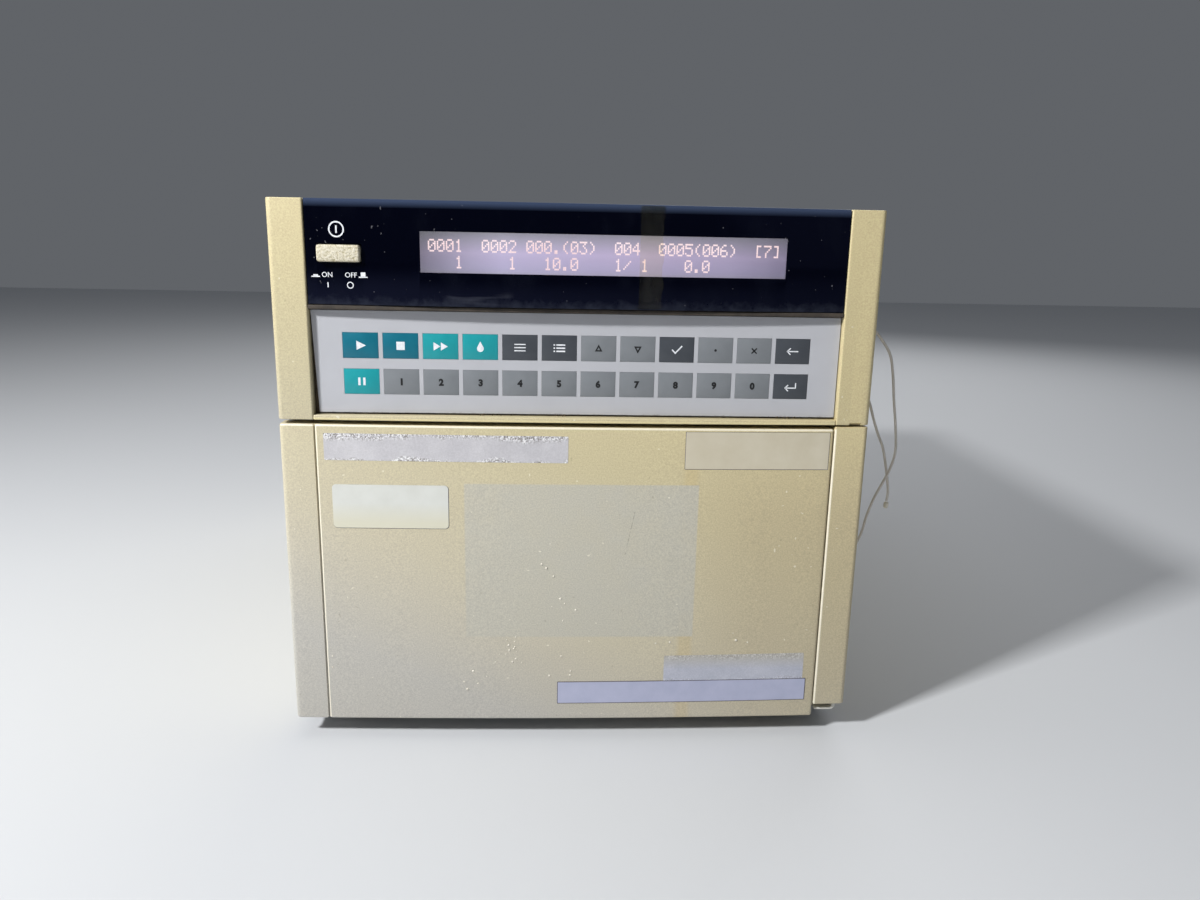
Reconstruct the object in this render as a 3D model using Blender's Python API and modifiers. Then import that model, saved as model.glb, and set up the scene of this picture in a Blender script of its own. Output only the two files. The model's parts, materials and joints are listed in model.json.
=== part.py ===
"""Autosampler for liquid chromatography, closed, with its door, keys and needle arm.

Metres, +Z up. The front faces -Y and the origin is under the middle of the case,
on the surface that the feet stand on.
"""

import math

import bmesh
import bpy
from mathutils import Matrix, Vector

# Driving sizes of the case
WIDTH = 0.340
DEPTH = 0.500
HEIGHT = 0.320
CLEARANCE = 0.0003
OVERRUN = 0.004
SHEET = 0.0015
WALL = 0.0025

# Feet
FOOT_HEIGHT = 0.012
FOOT_RADIUS = 0.014
FOOT_TAPER = 0.002
FOOT_INSET_SIDE = 0.034
FOOT_INSET_END = 0.045

# Curve of the front, seen from above
WINDOW_BULGE = 0.005
FACE_BULGE = 0.003
FACE_SETBACK = 0.002
FACE_CORNER = 0.003
FRONT_DEPTH = 0.016
DOOR_BACK_GAP = 0.0036

# Heights on the front
BEZEL_HEIGHT = 0.1214
DOOR_GAP = 0.0026
RAIL_HEIGHT = 0.0028
KEYPAD_HEIGHT = 0.0594
CROSSBAR_HEIGHT = 0.0024
COLUMN_WIDTH = 0.020
SEAM = 0.0006
GROOVE = 0.0008

# Front bezel
LEDGE = 0.004
BACK_WALL = 0.003
NOTCH_WIDTH = 0.007
NOTCH_HEIGHT = 0.0014
NOTCH_FROM_SIDE = 0.005

# Display
WINDOW_THICKNESS = 0.0025
SCREEN_SHARE = 0.677
SCREEN_HEIGHT = 0.0224
SCREEN_FROM_SIDE = 0.0549
SCREEN_BELOW_TOP = 0.0275
SCREEN_FRAME = 0.0045
SCREEN_BOARD_EDGE = 0.005
SCREEN_BOARD = 0.002
SCREEN_DEPTH = 0.0105
SCREEN_RECESS = 0.001

# Power button and its switch
BUTTON_WIDTH = 0.0232
BUTTON_HEIGHT = 0.0091
BUTTON_FROM_SIDE = 0.0387
BUTTON_BELOW_TOP = 0.0288
BUTTON_PROUD = 0.0005
BUTTON_TRAVEL = 0.003
BUTTON_HOLE_GAP = 0.001
SWITCH_WALL = 0.0025
SWITCH_BACK = 0.002

# Keypad
KEYPAD_RECESS = 0.003
KEY_COLUMNS = 12
KEY_ROWS = 2
KEY_SPACE = 0.0021
KEY_HEIGHT = 0.014
KEY_MARGIN = 0.0162
KEY_PITCH_Z = 0.0204
KEY_BLOCK_ABOVE_RAIL = 0.0292
KEY_PROUD = 0.0002
KEY_FLANGE = 0.0006
KEY_FLANGE_THICKNESS = 0.001
KEY_TRAVEL = 0.0004
KEY_STEM_RADIUS = 0.003
BOARD_GAP = 0.003
BOARD_THICKNESS = 0.0016
BOARD_MARGIN = 0.006
CHIP_SIZE = 0.012
CHIP_HEIGHT = 0.0018
STANDOFF_RADIUS = 0.0022

# Right column and leak tray
COLUMN_LIFT = 0.0078
COLUMN_GAP = 0.0012
TRAY_HEIGHT = 0.007
TRAY_LIP_THICKNESS = 0.003
TRAY_LIP_REACH = 0.0135
TRAY_LIP_CORNER = 0.005
TRAY_LIP_FROM_SEAM = 0.002

# Door hinge
PIVOT_FROM_SIDE = 0.0055
PIVOT_FROM_FRAME = 0.007
PIN_RADIUS = 0.002
PIN_IN_BEZEL = 0.006
EAR_HALF_WIDTH = 0.004
POCKET_FRONT = 0.0065
POCKET_SIDE = 0.006
KNUCKLE_THICKNESS = 0.0027

# Chassis frame
PLATE = 0.002
POST_WIDTH = 0.0167
POST_FLANGE = 0.028
REAR_FLANGE = 0.0025

# Sample compartment
BAY_WIDTH = 0.045
COMPARTMENT_DEPTH = 0.278
LINER_BELOW_DOOR = 0.0081

# Vial racks
VIAL_COLUMNS = 5
VIAL_ROWS = 9
VIAL_RADIUS = 0.0058
VIAL_SINK = 0.002
RACK_MARGIN_X = 0.0045
RACK_MARGIN_Y = 0.003
RACK_SPACE = 0.010
RACK_FROM_LEFT = 0.005
RACK_HANDLE_WIDTH = 0.040
RACK_HANDLE_DEPTH = 0.004
RACK_HANDLE_HEIGHT = 0.012

# Needle arm
HOME_FROM_WALL = 0.018
HOME_FROM_FRONT = 0.0315
RAIL_DEPTH = 0.008
SCREW_RADIUS = 0.004
SCREW_FROM_RAIL = 0.0177
SCREW_BELOW_RAIL = 0.004
RAIL_END_WALL = 0.0032
CARRIAGE_HALF_WIDTH = 0.014
CARRIAGE_FRONT = 0.0337
ROD_RADIUS = 0.003
ROD_SPREAD = 0.009
ROD_END_PLATE = 0.005
ROD_END_EDGE = 0.006
ROD_PAST_HOME = 0.021
TRAVERSE_HALF_WIDTH = 0.0145
TRAVERSE_HALF_LENGTH = 0.012
SLIDER_SIDE = 0.006
HOLDER_SIDE = 0.010
HOLDER_HEIGHT = 0.008
NEEDLE_RADIUS = 0.0008
WASH_RADIUS = 0.006
NEEDLE_BORE = 0.0019
NEEDLE_BORE_SPARE = 0.003

# Injection valve and syringe, in the bay at the right
BAY_AXIS_FROM_LINER = 0.015
VALVE_HEIGHT = 0.047
VALVE_RADIUS = 0.014
VALVE_HEAD = 0.012
VALVE_FROM_FRONT = 0.007
VALVE_POST_RADIUS = 0.0016
VALVE_POST_CIRCLE = 0.0122
VALVE_PLATE = 0.003
VALVE_PLATE_GAP = 0.020
ROTOR_RADIUS = 0.009
ROTOR_THICKNESS = 0.005
ROTOR_SHAFT_RADIUS = 0.003
ROTOR_GEAR_RADIUS = 0.011
ROTOR_GEAR_THICKNESS = 0.005
ROTOR_GEAR_GAP = 0.004
PORT_COUNT = 6
PORT_CIRCLE = 0.008
PORT_RADIUS = 0.0022
PORT_LENGTH = 0.004
BARREL_RADIUS = 0.005
BARREL_BORE = 0.0033
BARREL_CAP = 0.003
BARREL_NIPPLE_RADIUS = 0.0028
BARREL_NIPPLE_LENGTH = 0.008
SYRINGE_FROM_FRONT = 0.0215
PLUNGER_FOOT_SIDE = 0.014
PLUNGER_FOOT_HEIGHT = 0.006
CLAMP_HEIGHT = 0.007
CLAMP_HALF_DEPTH = 0.008
CLAMP_PAST_AXIS = 0.008
CLAMP_FROM_END = 0.003
MOTOR_LENGTH = 0.027
MOTOR_SIDE = 0.028

# Rear of the case
FAN_FROM_SIDE = 0.075
FAN_BELOW_TOP = 0.058
INLET_FROM_SIDE = 0.050
FAN_SIDE = 0.080
FAN_DEPTH = 0.025
FAN_BORE = 0.0375
FAN_HOLE = 0.0365
FAN_HUB_RADIUS = 0.0175
FAN_TIP_RADIUS = 0.0355
FAN_BLADES = 7
FAN_BLADE_THICKNESS = 0.0015
FAN_BLADE_CHORD = 0.016
FAN_BLADE_PITCH = math.radians(40)
FAN_STRUT_DEPTH = 0.003
FAN_HUB_GAP = 0.001
INLET_Z = 0.050
INLET_FLANGE_WIDTH = 0.050
INLET_FLANGE_HEIGHT = 0.024
INLET_BODY_WIDTH = 0.028
INLET_BODY_HEIGHT = 0.020
INLET_BODY_DEPTH = 0.022
INLET_POCKET_WIDTH = 0.0245
INLET_POCKET_HEIGHT = 0.0165
INLET_POCKET_DEPTH = 0.017
INLET_PIN_SPREAD = 0.007
INLET_PIN_RAISE = 0.002
INLET_PIN_WIDTH = 0.002
INLET_PIN_HEIGHT = 0.004
SUPPLY_WIDTH = 0.140
SUPPLY_LENGTH = 0.150
SUPPLY_HEIGHT = 0.060
SUPPLY_FROM_SIDE = 0.018
SUPPLY_FROM_REAR = 0.012
SUPPLY_EDGE = 0.002

# Outer cover
COVER_INSET = 0.0015
COVER_CORNER = 0.004
SLOT_LENGTH = 0.050
SLOT_HEIGHT = 0.003
SLOT_PITCH = 0.009
SLOT_COUNT = 8
SLOT_FROM_REAR = 0.030
SLOT_FROM_BASE = 0.030
BOSS_RADIUS = 0.004
BOSS_LENGTH = 0.0015

# Free tubes at the right side, each line as places out from the cover and down from the top
TUBE_RADIUS = 0.0008
TUBE_POINT_SPACING = 0.004
FITTING_RADIUS = 0.0021
FITTING_LENGTH = 0.007
UPPER_TUBE_FROM_FRAME = 0.0083
UPPER_TUBE_LINE = (
    (0.0018, 0.0660), (0.0075, 0.0678), (0.0137, 0.0745), (0.0193, 0.0832),
    (0.0221, 0.0953), (0.0240, 0.1095), (0.0268, 0.1275), (0.0281, 0.1425),
    (0.0258, 0.1535), (0.0220, 0.1625), (0.0179, 0.1715), (0.0139, 0.1835),
    (0.0115, 0.1950), (0.0075, 0.2040), (0.0018, 0.2060),
)
LOWER_TUBE_FROM_FRAME = 0.0143
LOWER_TUBE_LINE = (
    (0.0018, 0.1050), (0.0073, 0.1072), (0.0112, 0.1130), (0.0147, 0.1232),
    (0.0185, 0.1332), (0.0221, 0.1410), (0.0245, 0.1500), (0.0268, 0.1610),
    (0.0282, 0.1700), (0.0279, 0.1760),
)

# Planes that several pieces share
HALF = WIDTH / 2
FRONT = -DEPTH / 2
FACE_FRONT = FRONT + FACE_SETBACK
FACE_EDGE = FACE_FRONT + FACE_BULGE
FRAME_Y = FACE_EDGE + FRONT_DEPTH
FRONT_BACK = FRAME_Y - CLEARANCE
DOOR_BACK = FRAME_Y - DOOR_BACK_GAP
COLUMN_X = HALF - COLUMN_WIDTH
PANEL_Y1 = DEPTH / 2 - REAR_FLANGE
PANEL_Y0 = PANEL_Y1 - SHEET
COVER_X = HALF - COVER_INSET
COVER_TOP = HEIGHT - COVER_INSET
INNER_X = COVER_X - SHEET - CLEARANCE
INNER_TOP = COVER_TOP - SHEET - CLEARANCE
PLATE_Z0 = FOOT_HEIGHT + CLEARANCE
PLATE_Z1 = PLATE_Z0 + PLATE
POST_BACK = FRAME_Y + SHEET
UPPER_TUBE_ROUTE = [(COVER_X + out, FRAME_Y + UPPER_TUBE_FROM_FRAME, HEIGHT - down)
                    for out, down in UPPER_TUBE_LINE]
LOWER_TUBE_ROUTE = [(COVER_X + out, FRAME_Y + LOWER_TUBE_FROM_FRAME, HEIGHT - down)
                    for out, down in LOWER_TUBE_LINE]

DOOR_Z0 = FOOT_HEIGHT
BEZEL_Z0 = HEIGHT - BEZEL_HEIGHT
DOOR_Z1 = BEZEL_Z0 - DOOR_GAP
RAIL_Z1 = BEZEL_Z0 + RAIL_HEIGHT
CROSSBAR_Z0 = RAIL_Z1 + KEYPAD_HEIGHT
WINDOW_Z0 = CROSSBAR_Z0 + CROSSBAR_HEIGHT

SCREEN_WIDTH = 2 * COLUMN_X * SCREEN_SHARE
SCREEN_X = HALF - SCREEN_FROM_SIDE - SCREEN_WIDTH / 2
BUTTON_X = -HALF + BUTTON_FROM_SIDE
KEY_PITCH_X = 2 * (COLUMN_X - KEY_MARGIN) / KEY_COLUMNS
KEY_WIDTH = KEY_PITCH_X - KEY_SPACE
KEYPAD_Y0 = FACE_EDGE + KEYPAD_RECESS
KEYPAD_Y1 = KEYPAD_Y0 + SHEET
KEY_FLANGE_Y0 = KEYPAD_Y1 + CLEARANCE
KEY_FLANGE_Y1 = KEY_FLANGE_Y0 + KEY_FLANGE_THICKNESS
BOARD_Y0 = KEY_FLANGE_Y1 + BOARD_GAP
BACK_WALL_Y0 = FRONT_BACK - BACK_WALL

PIVOT_X = -HALF + PIVOT_FROM_SIDE
PIVOT_Y = FRAME_Y - PIVOT_FROM_FRAME

TRAY_X1 = INNER_X - SHEET - 2 * CLEARANCE
TRAY_Z0 = PLATE_Z1 + CLEARANCE
TRAY_Z1 = TRAY_Z0 + TRAY_HEIGHT
LINER_Z0 = TRAY_Z1 + CLEARANCE
LINER_Z1 = DOOR_Z1 - LINER_BELOW_DOOR
LINER_X0 = -COLUMN_X
LINER_X1 = INNER_X - BAY_WIDTH
LINER_Y0 = POST_BACK + CLEARANCE
LINER_Y1 = LINER_Y0 + COMPARTMENT_DEPTH
FLOOR = LINER_Z0 + SHEET
SHELF_Z0 = LINER_Z1 + CLEARANCE
SHELF_Z1 = SHELF_Z0 + SHEET
BULKHEAD_Y0 = LINER_Y1 + CLEARANCE
FAN_X = -HALF + FAN_FROM_SIDE
FAN_Z = HEIGHT - FAN_BELOW_TOP
INLET_X = HALF - INLET_FROM_SIDE


def level(share):
    """A height in the compartment, from 0 at its floor to 1 at its top."""
    return FLOOR + share * (LINER_Z1 - FLOOR)


RACK_HEIGHT = level(0.195) - FLOOR
VIAL_RISE = level(0.073) - FLOOR
WASH_HEIGHT = level(0.158) - FLOOR
RAIL_BOTTOM = level(0.770)
RAIL_TOP = level(0.903)
CARRIAGE_BOTTOM = level(0.678)
CARRIAGE_TOP = level(0.952)
ROD_HEIGHT = (CARRIAGE_BOTTOM + CARRIAGE_TOP) / 2
TRAVERSE_BOTTOM = level(0.636)
TRAVERSE_TOP = level(0.916)
SLIDER_BOTTOM = level(0.539)
SLIDER_TOP = level(0.964)
NEEDLE_TIP = level(0.344)
NEEDLE_TRAVEL = level(0.243) - FLOOR
BORE_BOTTOM = NEEDLE_TIP - NEEDLE_TRAVEL - NEEDLE_BORE_SPARE
BARREL_BOTTOM = level(0.618)
BARREL_TOP = level(0.940)
PLUNGER_TOP = level(0.861)
PLUNGER_BOTTOM = level(0.514)

HOME_X = LINER_X1 - SHEET - HOME_FROM_WALL
HOME_Y = LINER_Y0 + HOME_FROM_FRONT
RACKS_X0 = LINER_X0 + RACK_FROM_LEFT
RACKS_X1 = HOME_X - WASH_RADIUS - CLEARANCE - WALL
RACK_WIDTH = (RACKS_X1 - RACKS_X0 - RACK_SPACE) / 2
VIAL_PITCH = (RACK_WIDTH - 2 * RACK_MARGIN_X) / VIAL_COLUMNS
RAIL_Y1 = LINER_Y1 - SHEET - CLEARANCE
RAIL_Y0 = RAIL_Y1 - RAIL_DEPTH
RAIL_X0 = LINER_X0 + SHEET + CLEARANCE
RAIL_X1 = LINER_X1 - SHEET - CLEARANCE
SCREW_Y = RAIL_Y0 - SCREW_FROM_RAIL
SCREW_Z = RAIL_BOTTOM - SCREW_BELOW_RAIL
BAY_X = LINER_X1 + BAY_AXIS_FROM_LINER
VALVE_Y0 = LINER_Y0 + VALVE_FROM_FRONT
SYRINGE_Y = LINER_Y0 + SYRINGE_FROM_FRONT

# Rows of keys, left to right and top to bottom
KEY_NAMES = (
    ("start", "stop", "quick", "wash", "utility", "program",
     "up", "down", "confidence", "point", "clear", "escape"),
    ("hold", "1", "2", "3", "4", "5", "6", "7", "8", "9", "0", "enter"),
)
DARK_TEAL = (0.0, 0.205, 0.225)
LIGHT_TEAL = (0.017, 0.376, 0.328)
DARK_GREY = (0.071, 0.081, 0.098)
MID_GREY = (0.262, 0.283, 0.305)
KEY_COLOURS = {
    "start": DARK_TEAL, "stop": DARK_TEAL, "quick": LIGHT_TEAL, "wash": LIGHT_TEAL,
    "hold": LIGHT_TEAL, "utility": DARK_GREY, "program": DARK_GREY,
    "confidence": DARK_GREY, "escape": DARK_GREY, "enter": DARK_GREY,
}
CREAM = (0.610, 0.560, 0.400)
PALE_GREY = (0.500, 0.500, 0.500)
SHEET_GREY = (0.480, 0.480, 0.530)
BLACK = (0.006, 0.006, 0.009)
STEEL = (0.560, 0.570, 0.580)

for old in list(bpy.data.objects):
    bpy.data.objects.remove(old, do_unlink=True)
PARTS = bpy.data.collections.new("autosampler")
CUTTERS = bpy.data.collections.new("cutters")
bpy.context.scene.collection.children.link(PARTS)
bpy.context.scene.collection.children.link(CUTTERS)


def shape(bm, centre=(0, 0, 0)):
    """A helper solid in the cutters collection, smooth where its faces meet gently."""
    mesh = bpy.data.meshes.new("shape")
    bm.to_mesh(mesh)
    bm.free()
    mesh.shade_smooth()
    mesh.set_sharp_from_angle(angle=math.radians(35))
    made = bpy.data.objects.new("shape", mesh)
    made.location = centre
    made.hide_render = True
    made.display_type = "WIRE"
    CUTTERS.objects.link(made)
    return made


def block(x, y, z):
    """A box between pairs of planes."""
    low = Vector((min(x), min(y), min(z)))
    high = Vector((max(x), max(y), max(z)))
    bm = bmesh.new()
    bmesh.ops.create_cube(bm, size=1)
    bmesh.ops.scale(bm, vec=high - low, verts=bm.verts)
    return shape(bm, (low + high) / 2)


TURNS = {
    "x": Matrix.Rotation(math.pi / 2, 4, "Y"),
    "y": Matrix.Rotation(-math.pi / 2, 4, "X"),
    "z": Matrix.Identity(4),
}


def rod(centre, radius, length, axis, sides=24, end_radius=None):
    """A cylinder, or a cone where end_radius differs, centred along its axis."""
    bm = bmesh.new()
    top = radius if end_radius is None else end_radius
    bmesh.ops.create_cone(bm, cap_ends=True, segments=sides, radius1=radius,
                          radius2=top, depth=length, matrix=TURNS[axis])
    return shape(bm, centre)


def rod_between(start, end, across, radius, axis, sides=24):
    """A cylinder from one plane to another along an axis, at a place across it."""
    middle = (start + end) / 2
    place = {
        "x": (middle, across[0], across[1]),
        "y": (across[0], middle, across[1]),
        "z": (across[0], across[1], middle),
    }[axis]
    return rod(place, radius, abs(end - start), axis, sides)


def outline_solid(points, low, high, along="z"):
    """A flat outline filled and given thickness between two planes.

    Along z the points are (x, y). Along y they are (x, z).
    """
    curve = bpy.data.curves.new("outline", "CURVE")
    curve.dimensions = "2D"
    curve.fill_mode = "BOTH"
    curve.extrude = (high - low) / 2
    spline = curve.splines.new("POLY")
    spline.points.add(len(points) - 1)
    spline.use_cyclic_u = True
    for point, (u, v) in zip(spline.points, points):
        point.co = (u, v, 0, 1)
    made = bpy.data.objects.new("outline", curve)
    CUTTERS.objects.link(made)
    middle = (low + high) / 2
    if along == "y":
        made.rotation_euler = (math.pi / 2, 0, 0)
        made.location = (0, middle, 0)
    else:
        made.location = (0, 0, middle)
    return as_mesh(made)


def as_mesh(source):
    """A curve object turned into a closed mesh object, at the same place."""
    bpy.context.view_layer.update()
    graph = bpy.context.evaluated_depsgraph_get()
    mesh = bpy.data.meshes.new_from_object(source.evaluated_get(graph))
    bm = bmesh.new()
    bm.from_mesh(mesh)
    bmesh.ops.remove_doubles(bm, verts=bm.verts, dist=CLEARANCE / 100)
    bmesh.ops.recalc_face_normals(bm, faces=bm.faces)
    made = shape(bm)
    made.matrix_world = source.matrix_world.copy()
    bpy.data.objects.remove(source, do_unlink=True)
    bpy.data.meshes.remove(mesh)
    return made


def paint(made, name, colour, roughness, metallic=0.0):
    """Give an object a material of its own."""
    material = bpy.data.materials.new(name + "_finish")
    material.use_nodes = True
    shader = material.node_tree.nodes["Principled BSDF"]
    shader.inputs["Base Color"].default_value = (*colour, 1)
    shader.inputs["Roughness"].default_value = roughness
    shader.inputs["Metallic"].default_value = metallic
    made.data.materials.clear()
    made.data.materials.append(material)


def combine(made, operation, tools):
    """Join shapes to an object or cut them out of it."""
    for tool in tools:
        modifier = made.modifiers.new(operation.lower(), "BOOLEAN")
        modifier.operation = operation
        modifier.solver = "EXACT"
        modifier.object = tool


def piece(name, body, finish, joined=(), cuts=(), origin=None):
    """Name a solid, join shapes to it, cut shapes out of it and colour it."""
    made = body
    made.name = name
    made.data.name = name
    made.hide_render = False
    made.display_type = "TEXTURED"
    CUTTERS.objects.unlink(made)
    PARTS.objects.link(made)
    combine(made, "UNION", joined)
    combine(made, "DIFFERENCE", cuts)
    if origin is not None:
        bpy.context.view_layer.update()
        move = Matrix.Translation(-Vector(origin)) @ made.matrix_world
        made.data.transform(move)
        made.matrix_world = Matrix.Translation(Vector(origin))
    paint(made, name, *finish)
    return made


def arc(centre, radius, start, end, steps=5):
    """Points on an arc, angles in degrees."""
    angles = [math.radians(start + (end - start) * i / steps) for i in range(steps + 1)]
    return [(centre[0] + radius * math.cos(a), centre[1] + radius * math.sin(a))
            for a in angles]


def face_y(x):
    """Front of the door, the columns and the bezel at a place across the width."""
    return FACE_FRONT + FACE_BULGE * (x / HALF) ** 2


def window_y(x):
    """Front of the display window, which bulges more than the face."""
    return FRONT + WINDOW_BULGE * (x / COLUMN_X) ** 2


def spread(first, last, steps):
    """Evenly spaced values, both ends included."""
    return [first + (last - first) * i / steps for i in range(steps + 1)]


def front_outline(x0, x1, back, inset=0.0, steps=12):
    """A front piece seen from above, with rounded outer corners and a flat back.

    A piece that stops short of a side keeps a square corner there.
    """
    corner = FACE_CORNER - inset
    points = []
    left, right = x0, x1
    if abs(x0 + HALF - inset) < CLEARANCE:
        left = x0 + corner
        points += arc((left, face_y(left) + inset + corner), corner, 180, 270)
    if abs(x1 - HALF + inset) < CLEARANCE:
        right = x1 - corner
    points += [(x, face_y(x) + inset) for x in spread(left, right, steps)][bool(points):]
    if right != x1:
        points += arc((right, face_y(right) + inset + corner), corner, 270, 360)[1:]
    return points + [(x1, back), (x0, back)]


def make_feet():
    """Four rubber feet, each a plain taper."""
    foot_x = HALF - FOOT_INSET_SIDE
    foot_y = DEPTH / 2 - FOOT_INSET_END
    for y, end in ((-foot_y, "front"), (foot_y, "rear")):
        for x, side in ((-foot_x, "left"), (foot_x, "right")):
            body = rod((x, y, FOOT_HEIGHT / 2), FOOT_RADIUS - FOOT_TAPER, FOOT_HEIGHT, "z",
                       end_radius=FOOT_RADIUS)
            piece(f"foot_{end}_{side}", body, ((0.02, 0.02, 0.02), 0.8))


def make_chassis():
    """Sheet frame: bottom plate with the hinge ear, front posts, shelf and bulkhead.

    Sheets that meet are stepped by a clearance, so no two of their faces coincide.
    """
    back = PANEL_Y0 - CLEARANCE
    plate_x = INNER_X - CLEARANCE
    plate_y = FRAME_Y + SHEET / 2
    ear_x = (PIVOT_X - EAR_HALF_WIDTH, PIVOT_X + EAR_HALF_WIDTH)
    ear_y = PIVOT_Y - EAR_HALF_WIDTH
    body = outline_solid([(-plate_x, FRONT_BACK), (ear_x[0], FRONT_BACK), (ear_x[0], ear_y),
                          (ear_x[1], ear_y), (ear_x[1], plate_y), (plate_x, plate_y),
                          (plate_x, back), (-plate_x, back)], PLATE_Z0, PLATE_Z1)
    shelf_x = plate_x - CLEARANCE
    shelf = block((-shelf_x, shelf_x), (plate_y + CLEARANCE, back - CLEARANCE),
                  (SHELF_Z0, SHELF_Z1))
    bulkhead_x = shelf_x - CLEARANCE
    bulkhead = block((-bulkhead_x, bulkhead_x), (BULKHEAD_Y0, BULKHEAD_Y0 + SHEET),
                     (PLATE_Z0 + PLATE / 2, SHELF_Z1 - SHEET / 2))
    joined = [shelf, bulkhead]
    flange_y = FRAME_Y + POST_FLANGE
    for sign in (-1, 1):
        points = [(INNER_X - POST_WIDTH, FRAME_Y), (INNER_X, FRAME_Y), (INNER_X, flange_y),
                  (INNER_X - SHEET, flange_y), (INNER_X - SHEET, POST_BACK),
                  (INNER_X - POST_WIDTH, POST_BACK)]
        joined.append(outline_solid([(sign * x, y) for x, y in points],
                                    PLATE_Z0 + PLATE / 2, INNER_TOP - COVER_CORNER))
    pin_hole = rod_between(PLATE_Z0 - OVERRUN, PLATE_Z1 + OVERRUN, (PIVOT_X, PIVOT_Y),
                           PIN_RADIUS + CLEARANCE, "z", 16)
    lip_slot = block((COLUMN_X + TRAY_LIP_FROM_SEAM - CLEARANCE, TRAY_X1 + CLEARANCE),
                     (FRAME_Y - OVERRUN, POST_BACK + OVERRUN),
                     (PLATE_Z1 - CLEARANCE, TRAY_Z0 + TRAY_LIP_THICKNESS + CLEARANCE))
    piece("base_chassis", body, (STEEL, 0.45, 0.9), joined, [pin_hole, lip_slot])


def make_cover():
    """Bent steel cover over both sides and the top, with slots and tube bosses."""
    bend_x = COVER_X - COVER_CORNER
    bend_z = COVER_TOP - COVER_CORNER
    outer = ([(-COVER_X, PLATE_Z0)] + arc((-bend_x, bend_z), COVER_CORNER, 180, 90)
             + arc((bend_x, bend_z), COVER_CORNER, 90, 0) + [(COVER_X, PLATE_Z0)])
    bend = COVER_CORNER - SHEET
    wall = COVER_X - SHEET
    inner = ([(wall, PLATE_Z0)] + arc((bend_x, bend_z), bend, 0, 90)
             + arc((-bend_x, bend_z), bend, 90, 180) + [(-wall, PLATE_Z0)])
    body = outline_solid(outer + inner, FRAME_Y, PANEL_Y1, along="y")
    joined = []
    for route in (UPPER_TUBE_ROUTE, LOWER_TUBE_ROUTE):
        ends = [route[0]]
        if route is UPPER_TUBE_ROUTE:
            ends.append(route[-1])
        for x, y, z in ends:
            joined.append(rod_between(COVER_X - SHEET / 2, COVER_X + BOSS_LENGTH, (y, z),
                                      BOSS_RADIUS, "x"))
    cuts = []
    for i in range(SLOT_COUNT):
        z = PLATE_Z0 + SLOT_FROM_BASE + SLOT_PITCH * i
        y1 = PANEL_Y1 - SLOT_FROM_REAR
        for x in (-COVER_X, COVER_X):
            cuts.append(block((x - OVERRUN, x + OVERRUN), (y1 - SLOT_LENGTH, y1),
                              (z, z + SLOT_HEIGHT)))
    piece("outer_cover", body, (CREAM, 0.5), joined, cuts)


def make_rear_panel():
    """Flat rear sheet with openings for the fan and the mains inlet."""
    corner_x = INNER_X - COVER_CORNER
    corner_z = INNER_TOP - COVER_CORNER
    points = ([(-INNER_X, PLATE_Z0)] + arc((-corner_x, corner_z), COVER_CORNER, 180, 90)
              + arc((corner_x, corner_z), COVER_CORNER, 90, 0) + [(INNER_X, PLATE_Z0)])
    body = outline_solid(points, PANEL_Y0, PANEL_Y1, along="y")
    through = (PANEL_Y0 - OVERRUN, PANEL_Y1 + OVERRUN)
    fan_hole = rod_between(*through, (FAN_X, FAN_Z), FAN_HOLE, "y", 32)
    half_width = INLET_BODY_WIDTH / 2 + CLEARANCE
    half_height = INLET_BODY_HEIGHT / 2 + CLEARANCE
    inlet_hole = block((INLET_X - half_width, INLET_X + half_width), through,
                       (INLET_Z - half_height, INLET_Z + half_height))
    piece("rear_panel", body, (CREAM, 0.5), cuts=[fan_hole, inlet_hole])


def make_bezel():
    """Upper front moulding: two columns, a rail, a crossbar and a back wall."""
    body = outline_solid(front_outline(-HALF, HALF, FRONT_BACK), BEZEL_Z0, HEIGHT)
    front = FRONT - OVERRUN
    seat_back = [(x, window_y(x) + WINDOW_THICKNESS + CLEARANCE)
                 for x in spread(COLUMN_X, -COLUMN_X, 12)]
    window_seat = outline_solid([(-COLUMN_X, front), (COLUMN_X, front)] + seat_back,
                                WINDOW_Z0, HEIGHT + OVERRUN)
    ledge_x = COLUMN_X - LEDGE
    display_bay = block((-ledge_x, ledge_x), (front, BACK_WALL_Y0),
                        (WINDOW_Z0 + LEDGE, HEIGHT - BACK_WALL))
    keypad_seat = block((-COLUMN_X, COLUMN_X), (front, KEYPAD_Y1 + CLEARANCE),
                        (RAIL_Z1, CROSSBAR_Z0))
    keypad_bay = block((-ledge_x, ledge_x), (front, FRONT_BACK + OVERRUN),
                       (RAIL_Z1 + LEDGE, CROSSBAR_Z0 - LEDGE))
    cuts = [window_seat, display_bay, keypad_seat, keypad_bay]
    for sign in (-1, 1):
        cuts.append(block((sign * (COLUMN_X + WALL), sign * (HALF - WALL)),
                          (FACE_EDGE + WALL, FRONT_BACK + OVERRUN),
                          (BEZEL_Z0 + WALL, HEIGHT - WALL)))
    notch_x = HALF - NOTCH_FROM_SIDE
    cuts.append(block((notch_x - NOTCH_WIDTH, notch_x), (front, FACE_EDGE + WALL),
                      (BEZEL_Z0 - OVERRUN, BEZEL_Z0 + NOTCH_HEIGHT)))
    cuts.append(rod_between(BEZEL_Z0 - OVERRUN, BEZEL_Z0 + PIN_IN_BEZEL, (PIVOT_X, PIVOT_Y),
                            PIN_RADIUS + CLEARANCE, "z", 16))
    piece("front_bezel", body, (CREAM, 0.45), cuts=cuts)


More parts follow.
